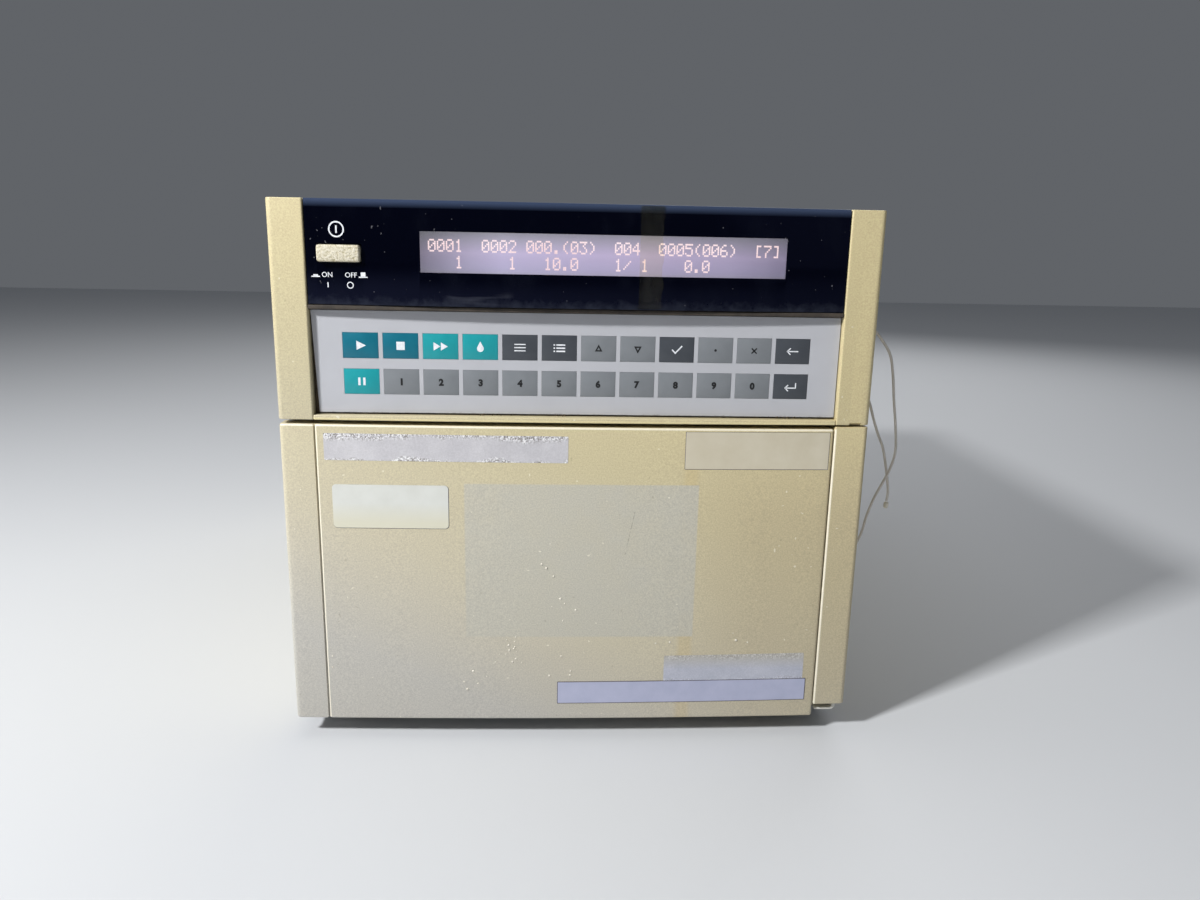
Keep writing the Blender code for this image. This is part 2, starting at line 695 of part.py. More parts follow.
def make_window():
    """Bulging black window over the display, with a hole for the power button."""
    edge = COLUMN_X - SEAM
    xs = spread(-edge, edge, 16)
    points = [(x, window_y(x)) for x in xs]
    points += [(x, window_y(x) + WINDOW_THICKNESS) for x in reversed(xs)]
    body = outline_solid(points, WINDOW_Z0 + CLEARANCE, HEIGHT)
    half_width = BUTTON_WIDTH / 2 + BUTTON_HOLE_GAP
    half_height = BUTTON_HEIGHT / 2 + BUTTON_HOLE_GAP
    button_z = HEIGHT - BUTTON_BELOW_TOP
    hole = block((BUTTON_X - half_width, BUTTON_X + half_width),
                 (FRONT - OVERRUN, FRONT + WINDOW_BULGE + OVERRUN),
                 (button_z - half_height, button_z + half_height))
    piece("display_window", body, (BLACK, 0.08), cuts=[hole])


def make_display():
    """Character display: a board with a raised frame round the sunk screen."""
    screen_z = HEIGHT - SCREEN_BELOW_TOP
    back = BACK_WALL_Y0 - CLEARANCE
    front = back - SCREEN_DEPTH
    half_x = SCREEN_WIDTH / 2
    half_z = SCREEN_HEIGHT / 2

    def around(edge):
        return ((SCREEN_X - half_x - edge, SCREEN_X + half_x + edge),
                (screen_z - half_z - edge, screen_z + half_z + edge))

    frame_x, frame_z = around(SCREEN_FRAME)
    board_x, board_z = around(SCREEN_FRAME + SCREEN_BOARD_EDGE)
    screen_x, screen_z_range = around(0)
    body = block(frame_x, (front, back - SCREEN_BOARD / 2), frame_z)
    board = block(board_x, (back - SCREEN_BOARD, back), board_z)
    sunk = block(screen_x, (front - OVERRUN, front + SCREEN_RECESS), screen_z_range)
    piece("lcd_module", body, ((0.45, 0.40, 0.62), 0.3), [board], [sunk])


def make_power_button():
    """Latching power button and the switch frame that guides it."""
    z = HEIGHT - BUTTON_BELOW_TOP
    half_x = BUTTON_WIDTH / 2
    half_z = BUTTON_HEIGHT / 2
    back = BACK_WALL_Y0 - CLEARANCE
    pocket_back = back - SWITCH_BACK
    frame_front = (window_y(abs(BUTTON_X) + half_x + SWITCH_WALL)
                   + WINDOW_THICKNESS + CLEARANCE)
    wall = CLEARANCE + SWITCH_WALL
    body = block((BUTTON_X - half_x - wall, BUTTON_X + half_x + wall), (frame_front, back),
                 (z - half_z - wall, z + half_z + wall))
    pocket = block((BUTTON_X - half_x - CLEARANCE, BUTTON_X + half_x + CLEARANCE),
                   (frame_front - OVERRUN, pocket_back),
                   (z - half_z - CLEARANCE, z + half_z + CLEARANCE))
    piece("power_switch", body, ((0.03, 0.03, 0.03), 0.5), cuts=[pocket])
    button = block((BUTTON_X - half_x, BUTTON_X + half_x),
                   (FRONT + BUTTON_PROUD, pocket_back - BUTTON_TRAVEL - CLEARANCE),
                   (z - half_z, z + half_z))
    piece("power_button", button, ((0.80, 0.76, 0.60), 0.45))


def key_place(row, column):
    """Centre of a key on the keypad."""
    x = (column - (KEY_COLUMNS - 1) / 2) * KEY_PITCH_X
    middle = RAIL_Z1 + KEY_BLOCK_ABOVE_RAIL
    return x, middle + ((KEY_ROWS - 1) / 2 - row) * KEY_PITCH_Z


def make_keypad():
    """Keypad sheet with a window for each key, and the circuit board behind it."""
    edge = COLUMN_X - SEAM
    body = block((-edge, edge), (KEYPAD_Y0, KEYPAD_Y1), (RAIL_Z1 + SEAM, CROSSBAR_Z0 - SEAM))
    half_x = KEY_WIDTH / 2 + CLEARANCE
    half_z = KEY_HEIGHT / 2 + CLEARANCE
    cuts = []
    for row in range(KEY_ROWS):
        for column in range(KEY_COLUMNS):
            x, z = key_place(row, column)
            cuts.append(block((x - half_x, x + half_x),
                              (KEYPAD_Y0 - OVERRUN, KEYPAD_Y1 + OVERRUN),
                              (z - half_z, z + half_z)))
    board_x = COLUMN_X - LEDGE - BOARD_MARGIN
    board_z = (RAIL_Z1 + BOARD_MARGIN, CROSSBAR_Z0 - BOARD_MARGIN)
    joined = []
    for x in (-board_x + STANDOFF_RADIUS, board_x - STANDOFF_RADIUS):
        for z in (board_z[0] + STANDOFF_RADIUS, board_z[1] - STANDOFF_RADIUS):
            joined.append(rod_between(KEYPAD_Y0 + SHEET / 2, BOARD_Y0 - CLEARANCE, (x, z),
                                      STANDOFF_RADIUS, "y", 10))
    piece("keypad_panel", body, (SHEET_GREY, 0.4), joined, cuts)

    board = block((-board_x, board_x), (BOARD_Y0, BOARD_Y0 + BOARD_THICKNESS), board_z)
    chips = []
    for share in (-0.5, 0.0, 0.5):
        x = share * board_x
        z = sum(board_z) / 2
        chips.append(block((x - CHIP_SIZE / 2, x + CHIP_SIZE / 2),
                           (BOARD_Y0 + BOARD_THICKNESS / 2,
                            BOARD_Y0 + BOARD_THICKNESS + CHIP_HEIGHT),
                           (z - CHIP_SIZE / 2, z + CHIP_SIZE / 2)))
    piece("control_board", board, ((0.02, 0.18, 0.06), 0.5), chips)


def make_keys():
    """Twenty-four keys, each a cap with a flange behind the sheet and a stem."""
    middle = (KEYPAD_Y0 + KEYPAD_Y1) / 2
    cap = block((-KEY_WIDTH / 2, KEY_WIDTH / 2),
                (KEYPAD_Y0 - KEY_PROUD - middle, KEY_FLANGE_Y0 + KEY_FLANGE_THICKNESS / 2 - middle),
                (-KEY_HEIGHT / 2, KEY_HEIGHT / 2))
    flange_x = KEY_WIDTH / 2 + KEY_FLANGE
    flange_z = KEY_HEIGHT / 2 + KEY_FLANGE
    flange = block((-flange_x, flange_x), (KEY_FLANGE_Y0 - middle, KEY_FLANGE_Y1 - middle),
                   (-flange_z, flange_z))
    stem = rod_between(KEY_FLANGE_Y1 - KEY_FLANGE_THICKNESS / 2 - middle,
                       BOARD_Y0 - KEY_TRAVEL - CLEARANCE - middle, (0, 0),
                       KEY_STEM_RADIUS, "y", 10)
    combine(cap, "UNION", (flange, stem))
    bpy.context.view_layer.update()
    graph = bpy.context.evaluated_depsgraph_get()
    key_mesh = bpy.data.meshes.new_from_object(cap.evaluated_get(graph))
    key_mesh.transform(cap.matrix_world)
    for helper in (cap, flange, stem):
        bpy.data.objects.remove(helper, do_unlink=True)
    for row, names in enumerate(KEY_NAMES):
        for column, name in enumerate(names):
            x, z = key_place(row, column)
            key = bpy.data.objects.new("key_" + name, key_mesh.copy())
            key.location = (x, middle, z)
            PARTS.objects.link(key)
            paint(key, "key_" + name, KEY_COLOURS.get(name, MID_GREY), 0.4)
    bpy.data.meshes.remove(key_mesh)


def make_door():
    """Hollow door with a grooved left column, hung on one long pin at the far left."""
    right = COLUMN_X - SEAM
    body = outline_solid(front_outline(-HALF, right, DOOR_BACK), DOOR_Z0, DOOR_Z1)
    floor = PLATE_Z1 + CLEARANCE + KNUCKLE_THICKNESS
    hollow = outline_solid(front_outline(-HALF + WALL, right - WALL, DOOR_BACK + OVERRUN, WALL),
                           floor, DOOR_Z1 - WALL)
    groove = rod((-COLUMN_X, face_y(COLUMN_X), (DOOR_Z0 + DOOR_Z1) / 2), GROOVE,
                 DOOR_Z1 - DOOR_Z0 + OVERRUN, "z", 4)
    pocket = block((-HALF - OVERRUN, PIVOT_X + POCKET_SIDE),
                   (PIVOT_Y - POCKET_FRONT, DOOR_BACK + OVERRUN),
                   (DOOR_Z0 - OVERRUN, floor - KNUCKLE_THICKNESS))
    bore = PIN_RADIUS + CLEARANCE
    low_bore = rod_between(floor - KNUCKLE_THICKNESS - OVERRUN, floor + OVERRUN,
                           (PIVOT_X, PIVOT_Y), bore, "z", 16)
    high_bore = rod_between(DOOR_Z1 - WALL - OVERRUN, DOOR_Z1 + OVERRUN,
                            (PIVOT_X, PIVOT_Y), bore, "z", 16)
    piece("door", body, (CREAM, 0.45), cuts=[hollow, groove, pocket, low_bore, high_bore],
          origin=(PIVOT_X, PIVOT_Y, (DOOR_Z0 + DOOR_Z1) / 2))
    pin = rod_between(PLATE_Z0 + CLEARANCE, BEZEL_Z0 + PIN_IN_BEZEL - CLEARANCE,
                      (PIVOT_X, PIVOT_Y), PIN_RADIUS, "z", 16)
    piece("door_hinge_pin", pin, (STEEL, 0.3, 1.0))


def make_right_column():
    """Fixed cover at the lower right, shorter than the door so the tray lip shows."""
    left = COLUMN_X
    z0 = DOOR_Z0 + COLUMN_LIFT
    z1 = BEZEL_Z0 - COLUMN_GAP
    body = outline_solid(front_outline(left, HALF, FRONT_BACK, steps=3), z0, z1)
    hollow = outline_solid(
        front_outline(left + WALL, HALF - WALL, FRONT_BACK + OVERRUN, WALL, 3),
        z0 + WALL, z1 - WALL)
    piece("right_column_cover", body, (CREAM, 0.45), cuts=[hollow])


def make_tray():
    """Leak tray under the compartment, with a lip that shows at the lower right."""
    x1 = TRAY_X1
    y0 = POST_BACK + CLEARANCE
    y1 = LINER_Y1 - SHEET
    body = block((-COLUMN_X + SHEET, x1), (y0, y1), (TRAY_Z0, TRAY_Z1))
    hollow = block((-COLUMN_X + SHEET * 2, x1 - SHEET), (y0 + SHEET, y1 - SHEET),
                   (TRAY_Z0 + SHEET, TRAY_Z1 + OVERRUN))
    lip_x0 = COLUMN_X + TRAY_LIP_FROM_SEAM
    lip_y = FRAME_Y - TRAY_LIP_REACH
    corner = arc((x1 - TRAY_LIP_CORNER, lip_y + TRAY_LIP_CORNER), TRAY_LIP_CORNER, 270, 360)
    lip = outline_solid([(lip_x0, lip_y)] + corner + [(x1, y0 + SHEET / 2), (lip_x0, y0 + SHEET / 2)],
                        TRAY_Z0, TRAY_Z0 + TRAY_LIP_THICKNESS)
    piece("leak_tray", body, (PALE_GREY, 0.5), [lip], [hollow])


def make_liner():
    """Sample compartment, with clamps and the motor housing on its right wall."""
    body = block((LINER_X0, LINER_X1), (LINER_Y0, LINER_Y1), (LINER_Z0, LINER_Z1))
    hollow = block((LINER_X0 + SHEET, LINER_X1 - SHEET), (LINER_Y0 - OVERRUN, LINER_Y1 - SHEET),
                   (FLOOR, LINER_Z1 - SHEET))
    wash_top = FLOOR + WASH_HEIGHT
    wash = rod_between(LINER_Z0 + SHEET / 2, wash_top, (HOME_X, HOME_Y), WASH_RADIUS, "z", 20)
    wash_bore = rod_between(BORE_BOTTOM, wash_top + OVERRUN, (HOME_X, HOME_Y), NEEDLE_BORE,
                            "z", 12)
    skin = LINER_X1 - SHEET / 2
    clamp_x = (skin, BAY_X + CLAMP_PAST_AXIS)
    clamp_y = (SYRINGE_Y - CLAMP_HALF_DEPTH, SYRINGE_Y + CLAMP_HALF_DEPTH)
    low = BARREL_BOTTOM + CLAMP_FROM_END
    high = BARREL_TOP - CLAMP_FROM_END
    half = MOTOR_SIDE / 2
    clamps = [block(clamp_x, clamp_y, (low, low + CLAMP_HEIGHT)),
              block(clamp_x, clamp_y, (high - CLAMP_HEIGHT, high))]
    motor = block((skin, skin + MOTOR_LENGTH), (SCREW_Y - half, SCREW_Y + half),
                  (SCREW_Z - half, SCREW_Z + half))
    barrel = rod_between(low - OVERRUN, high + OVERRUN, (BAY_X, SYRINGE_Y),
                         BARREL_RADIUS + CLEARANCE, "z")
    made = piece("compartment_liner", body, (PALE_GREY, 0.4), cuts=[hollow])
    combine(made, "UNION", [wash, motor] + clamps)
    combine(made, "DIFFERENCE", [wash_bore, barrel])


def rack_solid(name, x_middle, colour):
    """One loaded rack: a block with a handle and its vials, each open for the needle."""
    y0 = HOME_Y - VIAL_PITCH / 2 - RACK_MARGIN_Y
    y1 = y0 + VIAL_ROWS * VIAL_PITCH + 2 * RACK_MARGIN_Y
    z0 = FLOOR + CLEARANCE
    top = z0 + RACK_HEIGHT
    body = block((x_middle - RACK_WIDTH / 2, x_middle + RACK_WIDTH / 2), (y0, y1), (z0, top))
    half = RACK_HANDLE_WIDTH / 2
    handle_z = z0 + RACK_HEIGHT / 2
    joined = [block((x_middle - half, x_middle + half), (y0 - RACK_HANDLE_DEPTH, y0 + SHEET),
                    (handle_z - RACK_HANDLE_HEIGHT / 2, handle_z + RACK_HANDLE_HEIGHT / 2))]
    vials = bmesh.new()
    bores = bmesh.new()
    bore_top = top + VIAL_RISE + OVERRUN
    for column in range(VIAL_COLUMNS):
        for row in range(VIAL_ROWS):
            x = x_middle + (column - (VIAL_COLUMNS - 1) / 2) * VIAL_PITCH
            y = HOME_Y + row * VIAL_PITCH
            place = Matrix.Translation((x, y, top + (VIAL_RISE - VIAL_SINK) / 2))
            bmesh.ops.create_cone(vials, cap_ends=True, segments=8, radius1=VIAL_RADIUS,
                                  radius2=VIAL_RADIUS, depth=VIAL_RISE + VIAL_SINK, matrix=place)
            place = Matrix.Translation((x, y, (BORE_BOTTOM + bore_top) / 2))
            bmesh.ops.create_cone(bores, cap_ends=True, segments=6, radius1=NEEDLE_BORE,
                                  radius2=NEEDLE_BORE, depth=bore_top - BORE_BOTTOM, matrix=place)
    joined.append(shape(vials))
    piece(name, body, (colour, 0.5), joined, [shape(bores)])


def make_racks():
    """Two vial racks side by side on the compartment floor."""
    colour = (0.62, 0.64, 0.66)
    rack_solid("vial_rack_right", RACKS_X1 - RACK_WIDTH / 2, colour)
    rack_solid("vial_rack_left", RACKS_X0 + RACK_WIDTH / 2, colour)


def make_arm():
    """Rail, lead screw, carriage with two rods, traverse and the needle slider."""
    rail = block((RAIL_X0, RAIL_X1), (RAIL_Y0, RAIL_Y1), (RAIL_BOTTOM, RAIL_TOP))
    block_y = (SCREW_Y - SCREW_RADIUS * 2, RAIL_Y1)
    block_z = (SCREW_Z - SCREW_RADIUS * 2, RAIL_TOP)
    ends = [block((RAIL_X0, RAIL_X0 + RAIL_END_WALL), block_y, block_z),
            block((RAIL_X1 - RAIL_END_WALL, RAIL_X1), block_y, block_z)]
    bore = rod_between(RAIL_X0 - OVERRUN, RAIL_X1 + OVERRUN, (SCREW_Y, SCREW_Z),
                       SCREW_RADIUS + CLEARANCE, "x")
    piece("x_rail", rail, (STEEL, 0.4, 0.9), ends, [bore])
    screw = rod_between(RAIL_X0 + CLEARANCE, RAIL_X1 - CLEARANCE, (SCREW_Y, SCREW_Z),
                        SCREW_RADIUS, "x")
    piece("x_screw", screw, (STEEL, 0.3, 1.0), origin=(HOME_X, SCREW_Y, SCREW_Z))

    side = (HOME_X - CARRIAGE_HALF_WIDTH, HOME_X + CARRIAGE_HALF_WIDTH)
    front = RAIL_Y0 - CARRIAGE_FRONT
    body = block(side, (front, RAIL_Y1 - CLEARANCE), (CARRIAGE_BOTTOM, CARRIAGE_TOP))
    channel = block((side[0] - OVERRUN, side[1] + OVERRUN), (RAIL_Y0 - CLEARANCE, RAIL_Y1 + OVERRUN),
                    (RAIL_BOTTOM - CLEARANCE, RAIL_TOP + CLEARANCE))
    bore = rod_between(side[0] - OVERRUN, side[1] + OVERRUN, (SCREW_Y, SCREW_Z),
                       SCREW_RADIUS + CLEARANCE, "x")
    rod_tip = HOME_Y - ROD_PAST_HOME
    joined = []
    for x in (HOME_X - ROD_SPREAD, HOME_X + ROD_SPREAD):
        joined.append(rod_between(front + SHEET, rod_tip + ROD_END_PLATE / 2, (x, ROD_HEIGHT),
                                  ROD_RADIUS, "y", 16))
    plate_x = ROD_SPREAD + ROD_RADIUS
    joined.append(block((HOME_X - plate_x, HOME_X + plate_x), (rod_tip, rod_tip + ROD_END_PLATE),
                        (ROD_HEIGHT - ROD_END_EDGE, ROD_HEIGHT + ROD_END_EDGE)))
    piece("x_carriage", body, ((0.05, 0.05, 0.05), 0.5), joined, [channel, bore],
          origin=(HOME_X, SCREW_Y, SCREW_Z))

    traverse = block((HOME_X - TRAVERSE_HALF_WIDTH, HOME_X + TRAVERSE_HALF_WIDTH),
                     (HOME_Y - TRAVERSE_HALF_LENGTH, HOME_Y + TRAVERSE_HALF_LENGTH),
                     (TRAVERSE_BOTTOM, TRAVERSE_TOP))
    cuts = []
    for x in (HOME_X - ROD_SPREAD, HOME_X + ROD_SPREAD):
        cuts.append(rod((x, HOME_Y, ROD_HEIGHT), ROD_RADIUS + CLEARANCE,
                        2 * (TRAVERSE_HALF_LENGTH + OVERRUN), "y", 16))
    channel_half = SLIDER_SIDE / 2 + CLEARANCE
    cuts.append(block((HOME_X - channel_half, HOME_X + channel_half),
                      (HOME_Y - channel_half, HOME_Y + channel_half),
                      (TRAVERSE_BOTTOM - OVERRUN, TRAVERSE_TOP + OVERRUN)))
    piece("y_traverse", traverse, ((0.05, 0.05, 0.05), 0.5), cuts=cuts,
          origin=(HOME_X, HOME_Y, ROD_HEIGHT))

    half = SLIDER_SIDE / 2
    slider = block((HOME_X - half, HOME_X + half), (HOME_Y - half, HOME_Y + half),
                   (SLIDER_BOTTOM, SLIDER_TOP))
    half = HOLDER_SIDE / 2
    holder_z = (SLIDER_BOTTOM - HOLDER_HEIGHT / 2, SLIDER_BOTTOM + HOLDER_HEIGHT / 2)
    holder = block((HOME_X - half, HOME_X + half), (HOME_Y - half, HOME_Y + half), holder_z)
    needle = rod_between(NEEDLE_TIP, SLIDER_BOTTOM, (HOME_X, HOME_Y), NEEDLE_RADIUS, "z", 10)
    piece("needle_slider", slider, (STEEL, 0.25, 1.0), [holder, needle],
          origin=(HOME_X, HOME_Y, SLIDER_TOP))


def make_valve():
    """Six-port injection valve: fixed head and plate, with the rotor between them."""
    head_y1 = VALVE_Y0 + VALVE_HEAD
    head = rod_between(VALVE_Y0, head_y1, (BAY_X, VALVE_HEIGHT), VALVE_RADIUS, "y", 28)
    plate_y0 = head_y1 + VALVE_PLATE_GAP
    plate_y1 = plate_y0 + VALVE_PLATE
    edge = BAY_X - LINER_X1 - CLEARANCE
    joined = [block((BAY_X - edge, BAY_X + edge), (plate_y0, plate_y1),
                    (VALVE_HEIGHT - edge, VALVE_HEIGHT + edge))]
    for sign in (-1, 1):
        joined.append(rod_between(head_y1 - SHEET, plate_y0 + SHEET,
                                  (BAY_X, VALVE_HEIGHT + sign * VALVE_POST_CIRCLE),
                                  VALVE_POST_RADIUS, "y", 10))
    for i in range(PORT_COUNT):
        turn = 2 * math.pi * i / PORT_COUNT
        place = (BAY_X + PORT_CIRCLE * math.cos(turn), VALVE_HEIGHT + PORT_CIRCLE * math.sin(turn))
        joined.append(rod_between(VALVE_Y0 - PORT_LENGTH, VALVE_Y0 + SHEET, place,
                                  PORT_RADIUS, "y", 6))
    shaft_hole = rod_between(plate_y0 - OVERRUN, plate_y1 + OVERRUN, (BAY_X, VALVE_HEIGHT),
                             ROTOR_SHAFT_RADIUS + CLEARANCE, "y")
    piece("valve_stator", head, (STEEL, 0.3, 1.0), joined, [shaft_hole])

    rotor_y0 = head_y1 + CLEARANCE
    disc = rod_between(rotor_y0, rotor_y0 + ROTOR_THICKNESS, (BAY_X, VALVE_HEIGHT),
                       ROTOR_RADIUS, "y")
    gear_y0 = plate_y1 + ROTOR_GEAR_GAP
    gear_y1 = gear_y0 + ROTOR_GEAR_THICKNESS
    shaft = rod_between(rotor_y0 + ROTOR_THICKNESS / 2, gear_y0 + ROTOR_GEAR_THICKNESS / 2,
                        (BAY_X, VALVE_HEIGHT), ROTOR_SHAFT_RADIUS, "y")
    gear = rod_between(gear_y0, gear_y1, (BAY_X, VALVE_HEIGHT), ROTOR_GEAR_RADIUS, "y", 20)
    piece("valve_rotor", disc, ((0.02, 0.02, 0.02), 0.5), [shaft, gear],
          origin=(BAY_X, gear_y1, VALVE_HEIGHT))


def make_syringe():
    """Metering syringe: a glass barrel with its nipple, and the driven plunger."""
    barrel = rod_between(BARREL_BOTTOM, BARREL_TOP, (BAY_X, SYRINGE_Y), BARREL_RADIUS, "z")
    nipple = rod_between(BARREL_TOP - BARREL_CAP / 2, BARREL_TOP + BARREL_NIPPLE_LENGTH,
                         (BAY_X, SYRINGE_Y), BARREL_NIPPLE_RADIUS, "z", 6)
    bore = rod_between(BARREL_BOTTOM - OVERRUN, BARREL_TOP - BARREL_CAP, (BAY_X, SYRINGE_Y),
                       BARREL_BORE, "z")
    piece("syringe_barrel", barrel, ((0.75, 0.80, 0.82), 0.1), [nipple], [bore])
    plunger = rod_between(PLUNGER_BOTTOM - PLUNGER_FOOT_HEIGHT / 2, PLUNGER_TOP,
                          (BAY_X, SYRINGE_Y), BARREL_BORE - CLEARANCE, "z")
    half = PLUNGER_FOOT_SIDE / 2
    foot = block((BAY_X - half, BAY_X + half), (SYRINGE_Y - half, SYRINGE_Y + half),
                 (PLUNGER_BOTTOM - PLUNGER_FOOT_HEIGHT, PLUNGER_BOTTOM))
    piece("syringe_plunger", plunger, (STEEL, 0.3, 1.0), [foot],
          origin=(BAY_X, SYRINGE_Y, PLUNGER_BOTTOM))


def make_fan():
    """Cooling fan inside the rear panel: frame with struts, and a bladed rotor."""
    y1 = PANEL_Y0 - CLEARANCE
    y0 = y1 - FAN_DEPTH
    half = FAN_SIDE / 2
    body = block((FAN_X - half, FAN_X + half), (y0, y1), (FAN_Z - half, FAN_Z + half))
    tunnel = rod_between(y0 + FAN_STRUT_DEPTH, y1 + OVERRUN, (FAN_X, FAN_Z), FAN_BORE, "y", 32)
    cuts = [tunnel]
    for i in range(4):
        turn = math.pi / 2 * i
        bm = bmesh.new()
        inner = FAN_HUB_RADIUS
        outer = FAN_BORE
        bmesh.ops.create_cube(bm, size=1)
        reach = outer - inner
        bmesh.ops.scale(bm, vec=(reach, FAN_STRUT_DEPTH * 2 + OVERRUN, reach), verts=bm.verts)
        window = shape(bm)
        offset = inner + reach / 2
        window.matrix_world = (Matrix.Translation((FAN_X, y0, FAN_Z))
                               @ Matrix.Rotation(turn + math.pi / 4, 4, "Y")
                               @ Matrix.Translation((offset, 0, 0)))
        cuts.append(window)
    piece("fan_frame", body, ((0.02, 0.02, 0.02), 0.6), cuts=cuts)

    hub_y0 = y0 + FAN_STRUT_DEPTH + CLEARANCE
    hub_y1 = y1 - FAN_HUB_GAP
    hub = rod_between(hub_y0, hub_y1, (FAN_X, FAN_Z), FAN_HUB_RADIUS, "y")
    blades = []
    for i in range(FAN_BLADES):
        bm = bmesh.new()
        bmesh.ops.create_cube(bm, size=1)
        length = FAN_TIP_RADIUS - FAN_HUB_RADIUS / 2
        bmesh.ops.scale(bm, vec=(length, FAN_BLADE_CHORD, FAN_BLADE_THICKNESS), verts=bm.verts)
        blade = shape(bm)
        blade.matrix_world = (Matrix.Translation((FAN_X, (hub_y0 + hub_y1) / 2, FAN_Z))
                              @ Matrix.Rotation(2 * math.pi * i / FAN_BLADES, 4, "Y")
                              @ Matrix.Translation((FAN_TIP_RADIUS - length / 2, 0, 0))
                              @ Matrix.Rotation(FAN_BLADE_PITCH, 4, "X"))
        blades.append(blade)
    piece("fan_rotor", hub, ((0.02, 0.02, 0.02), 0.5), blades, origin=(FAN_X, hub_y1, FAN_Z))


def make_inlet():
    """Three-pin mains inlet in the rear panel."""

    def span(width, height):
        return ((INLET_X - width / 2, INLET_X + width / 2),
                (INLET_Z - height / 2, INLET_Z + height / 2))

    face = DEPTH / 2
    flange_x, flange_z = span(INLET_FLANGE_WIDTH, INLET_FLANGE_HEIGHT)
    body_x, body_z = span(INLET_BODY_WIDTH, INLET_BODY_HEIGHT)
    pocket_x, pocket_z = span(INLET_POCKET_WIDTH, INLET_POCKET_HEIGHT)
    flange = block(flange_x, (PANEL_Y1 + CLEARANCE, face), flange_z)
    body = block(body_x, (face - INLET_BODY_DEPTH, face - REAR_FLANGE / 2), body_z)
    pocket = block(pocket_x, (face - INLET_POCKET_DEPTH, face + OVERRUN), pocket_z)
    made = piece("mains_inlet", flange, ((0.02, 0.02, 0.02), 0.5), [body], [pocket])
    pins = []
    for shift, raised in ((-INLET_PIN_SPREAD, 0), (0, INLET_PIN_RAISE), (INLET_PIN_SPREAD, 0)):
        x = INLET_X + shift
        z = INLET_Z + raised
        pins.append(block((x - INLET_PIN_WIDTH / 2, x + INLET_PIN_WIDTH / 2),
                          (face - INLET_POCKET_DEPTH - SHEET, face - REAR_FLANGE),
                          (z - INLET_PIN_HEIGHT / 2, z + INLET_PIN_HEIGHT / 2)))
    combine(made, "UNION", pins)


def make_supply():
    """Closed power supply box on the shelf."""
    x1 = INNER_X - SUPPLY_FROM_SIDE
    y1 = PANEL_Y0 - SUPPLY_FROM_REAR
    z0 = SHELF_Z1 + CLEARANCE
    body = block((x1 - SUPPLY_WIDTH, x1), (y1 - SUPPLY_LENGTH, y1), (z0, z0 + SUPPLY_HEIGHT))
    bevel = body.modifiers.new("edges", "BEVEL")
    bevel.width = SUPPLY_EDGE
    bevel.segments = 2
    piece("power_supply", body, (STEEL, 0.4, 0.9))


def smooth_route(points, spacing):
    """Points evenly spaced on a smooth curve through a tube's own points."""
    knots = [Vector(p) for p in points]
    padded = [2 * knots[0] - knots[1]] + knots + [2 * knots[-1] - knots[-2]]
    fine = []
    for i in range(1, len(padded) - 2):
        a, b, c, d = padded[i - 1:i + 3]
        for step in range(16):
            t = step / 16
            fine.append(0.5 * ((2 * b) + (c - a) * t + (2 * a - 5 * b + 4 * c - d) * t ** 2
                               + (3 * b - a - 3 * c + d) * t ** 3))
    fine.append(knots[-1])
    lengths = [0.0]
    for a, b in zip(fine, fine[1:]):
        lengths.append(lengths[-1] + (b - a).length)
    count = max(2, round(lengths[-1] / spacing))
    route = []
    for i in range(count + 1):
        target = lengths[-1] * i / count
        k = max(j for j in range(len(fine)) if lengths[j] <= target + CLEARANCE / 100)
        k = min(k, len(fine) - 2)
        share = (target - lengths[k]) / (lengths[k + 1] - lengths[k])
        route.append(fine[k].lerp(fine[k + 1], min(max(share, 0), 1)))
    return route, lengths[-1]


def make_tube(name, points, fitting):
    """A clear plastic tube along its route, with a fitting on its end if asked."""
    route, length = smooth_route(points, TUBE_POINT_SPACING)
    radii = [1.0] * len(route)
    if fitting:
        along = (route[-1] - route[-2]).normalized()
        grown = FITTING_RADIUS / TUBE_RADIUS
        route += [route[-1] + along * CLEARANCE, route[-1] + along * FITTING_LENGTH]
        radii += [grown, grown]
    curve = bpy.data.curves.new(name, "CURVE")
    curve.dimensions = "3D"
    curve.bevel_depth = TUBE_RADIUS
    curve.bevel_resolution = 2
    curve.use_fill_caps = True
    spline = curve.splines.new("POLY")
    spline.points.add(len(route) - 1)
    for point, place, radius in zip(spline.points, route, radii):
        point.co = (*place, 1)
        point.radius = radius
    tube = bpy.data.objects.new(name, curve)
    PARTS.objects.link(tube)
    paint(tube, name, (0.80, 0.82, 0.84), 0.2)
    print(name, "length", round(length, 4))


make_feet()
make_chassis()
make_cover()
make_rear_panel()
make_bezel()
make_window()
make_display()
make_power_button()
make_keypad()
make_keys()
make_door()
make_right_column()
make_tray()
make_liner()
make_racks()
make_arm()
make_valve()
make_syringe()
make_fan()
make_inlet()
make_supply()
make_tube("tube_upper", UPPER_TUBE_ROUTE, False)
make_tube("tube_lower", LOWER_TUBE_ROUTE, True)
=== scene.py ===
# %% [markdown]
# # A benchtop autosampler, dressed around its CAD frame
#
# The real object is a laboratory case that draws samples out of small vials. Its front is what
# people see: a black bulging display window, a keypad under it, and a cream door below. The
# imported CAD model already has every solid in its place, so this lesson adds the looks: rounded
# edges, aged plastic, a lit display, printed marks, glass vials and two thin free tubes.

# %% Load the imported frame
import json
import math

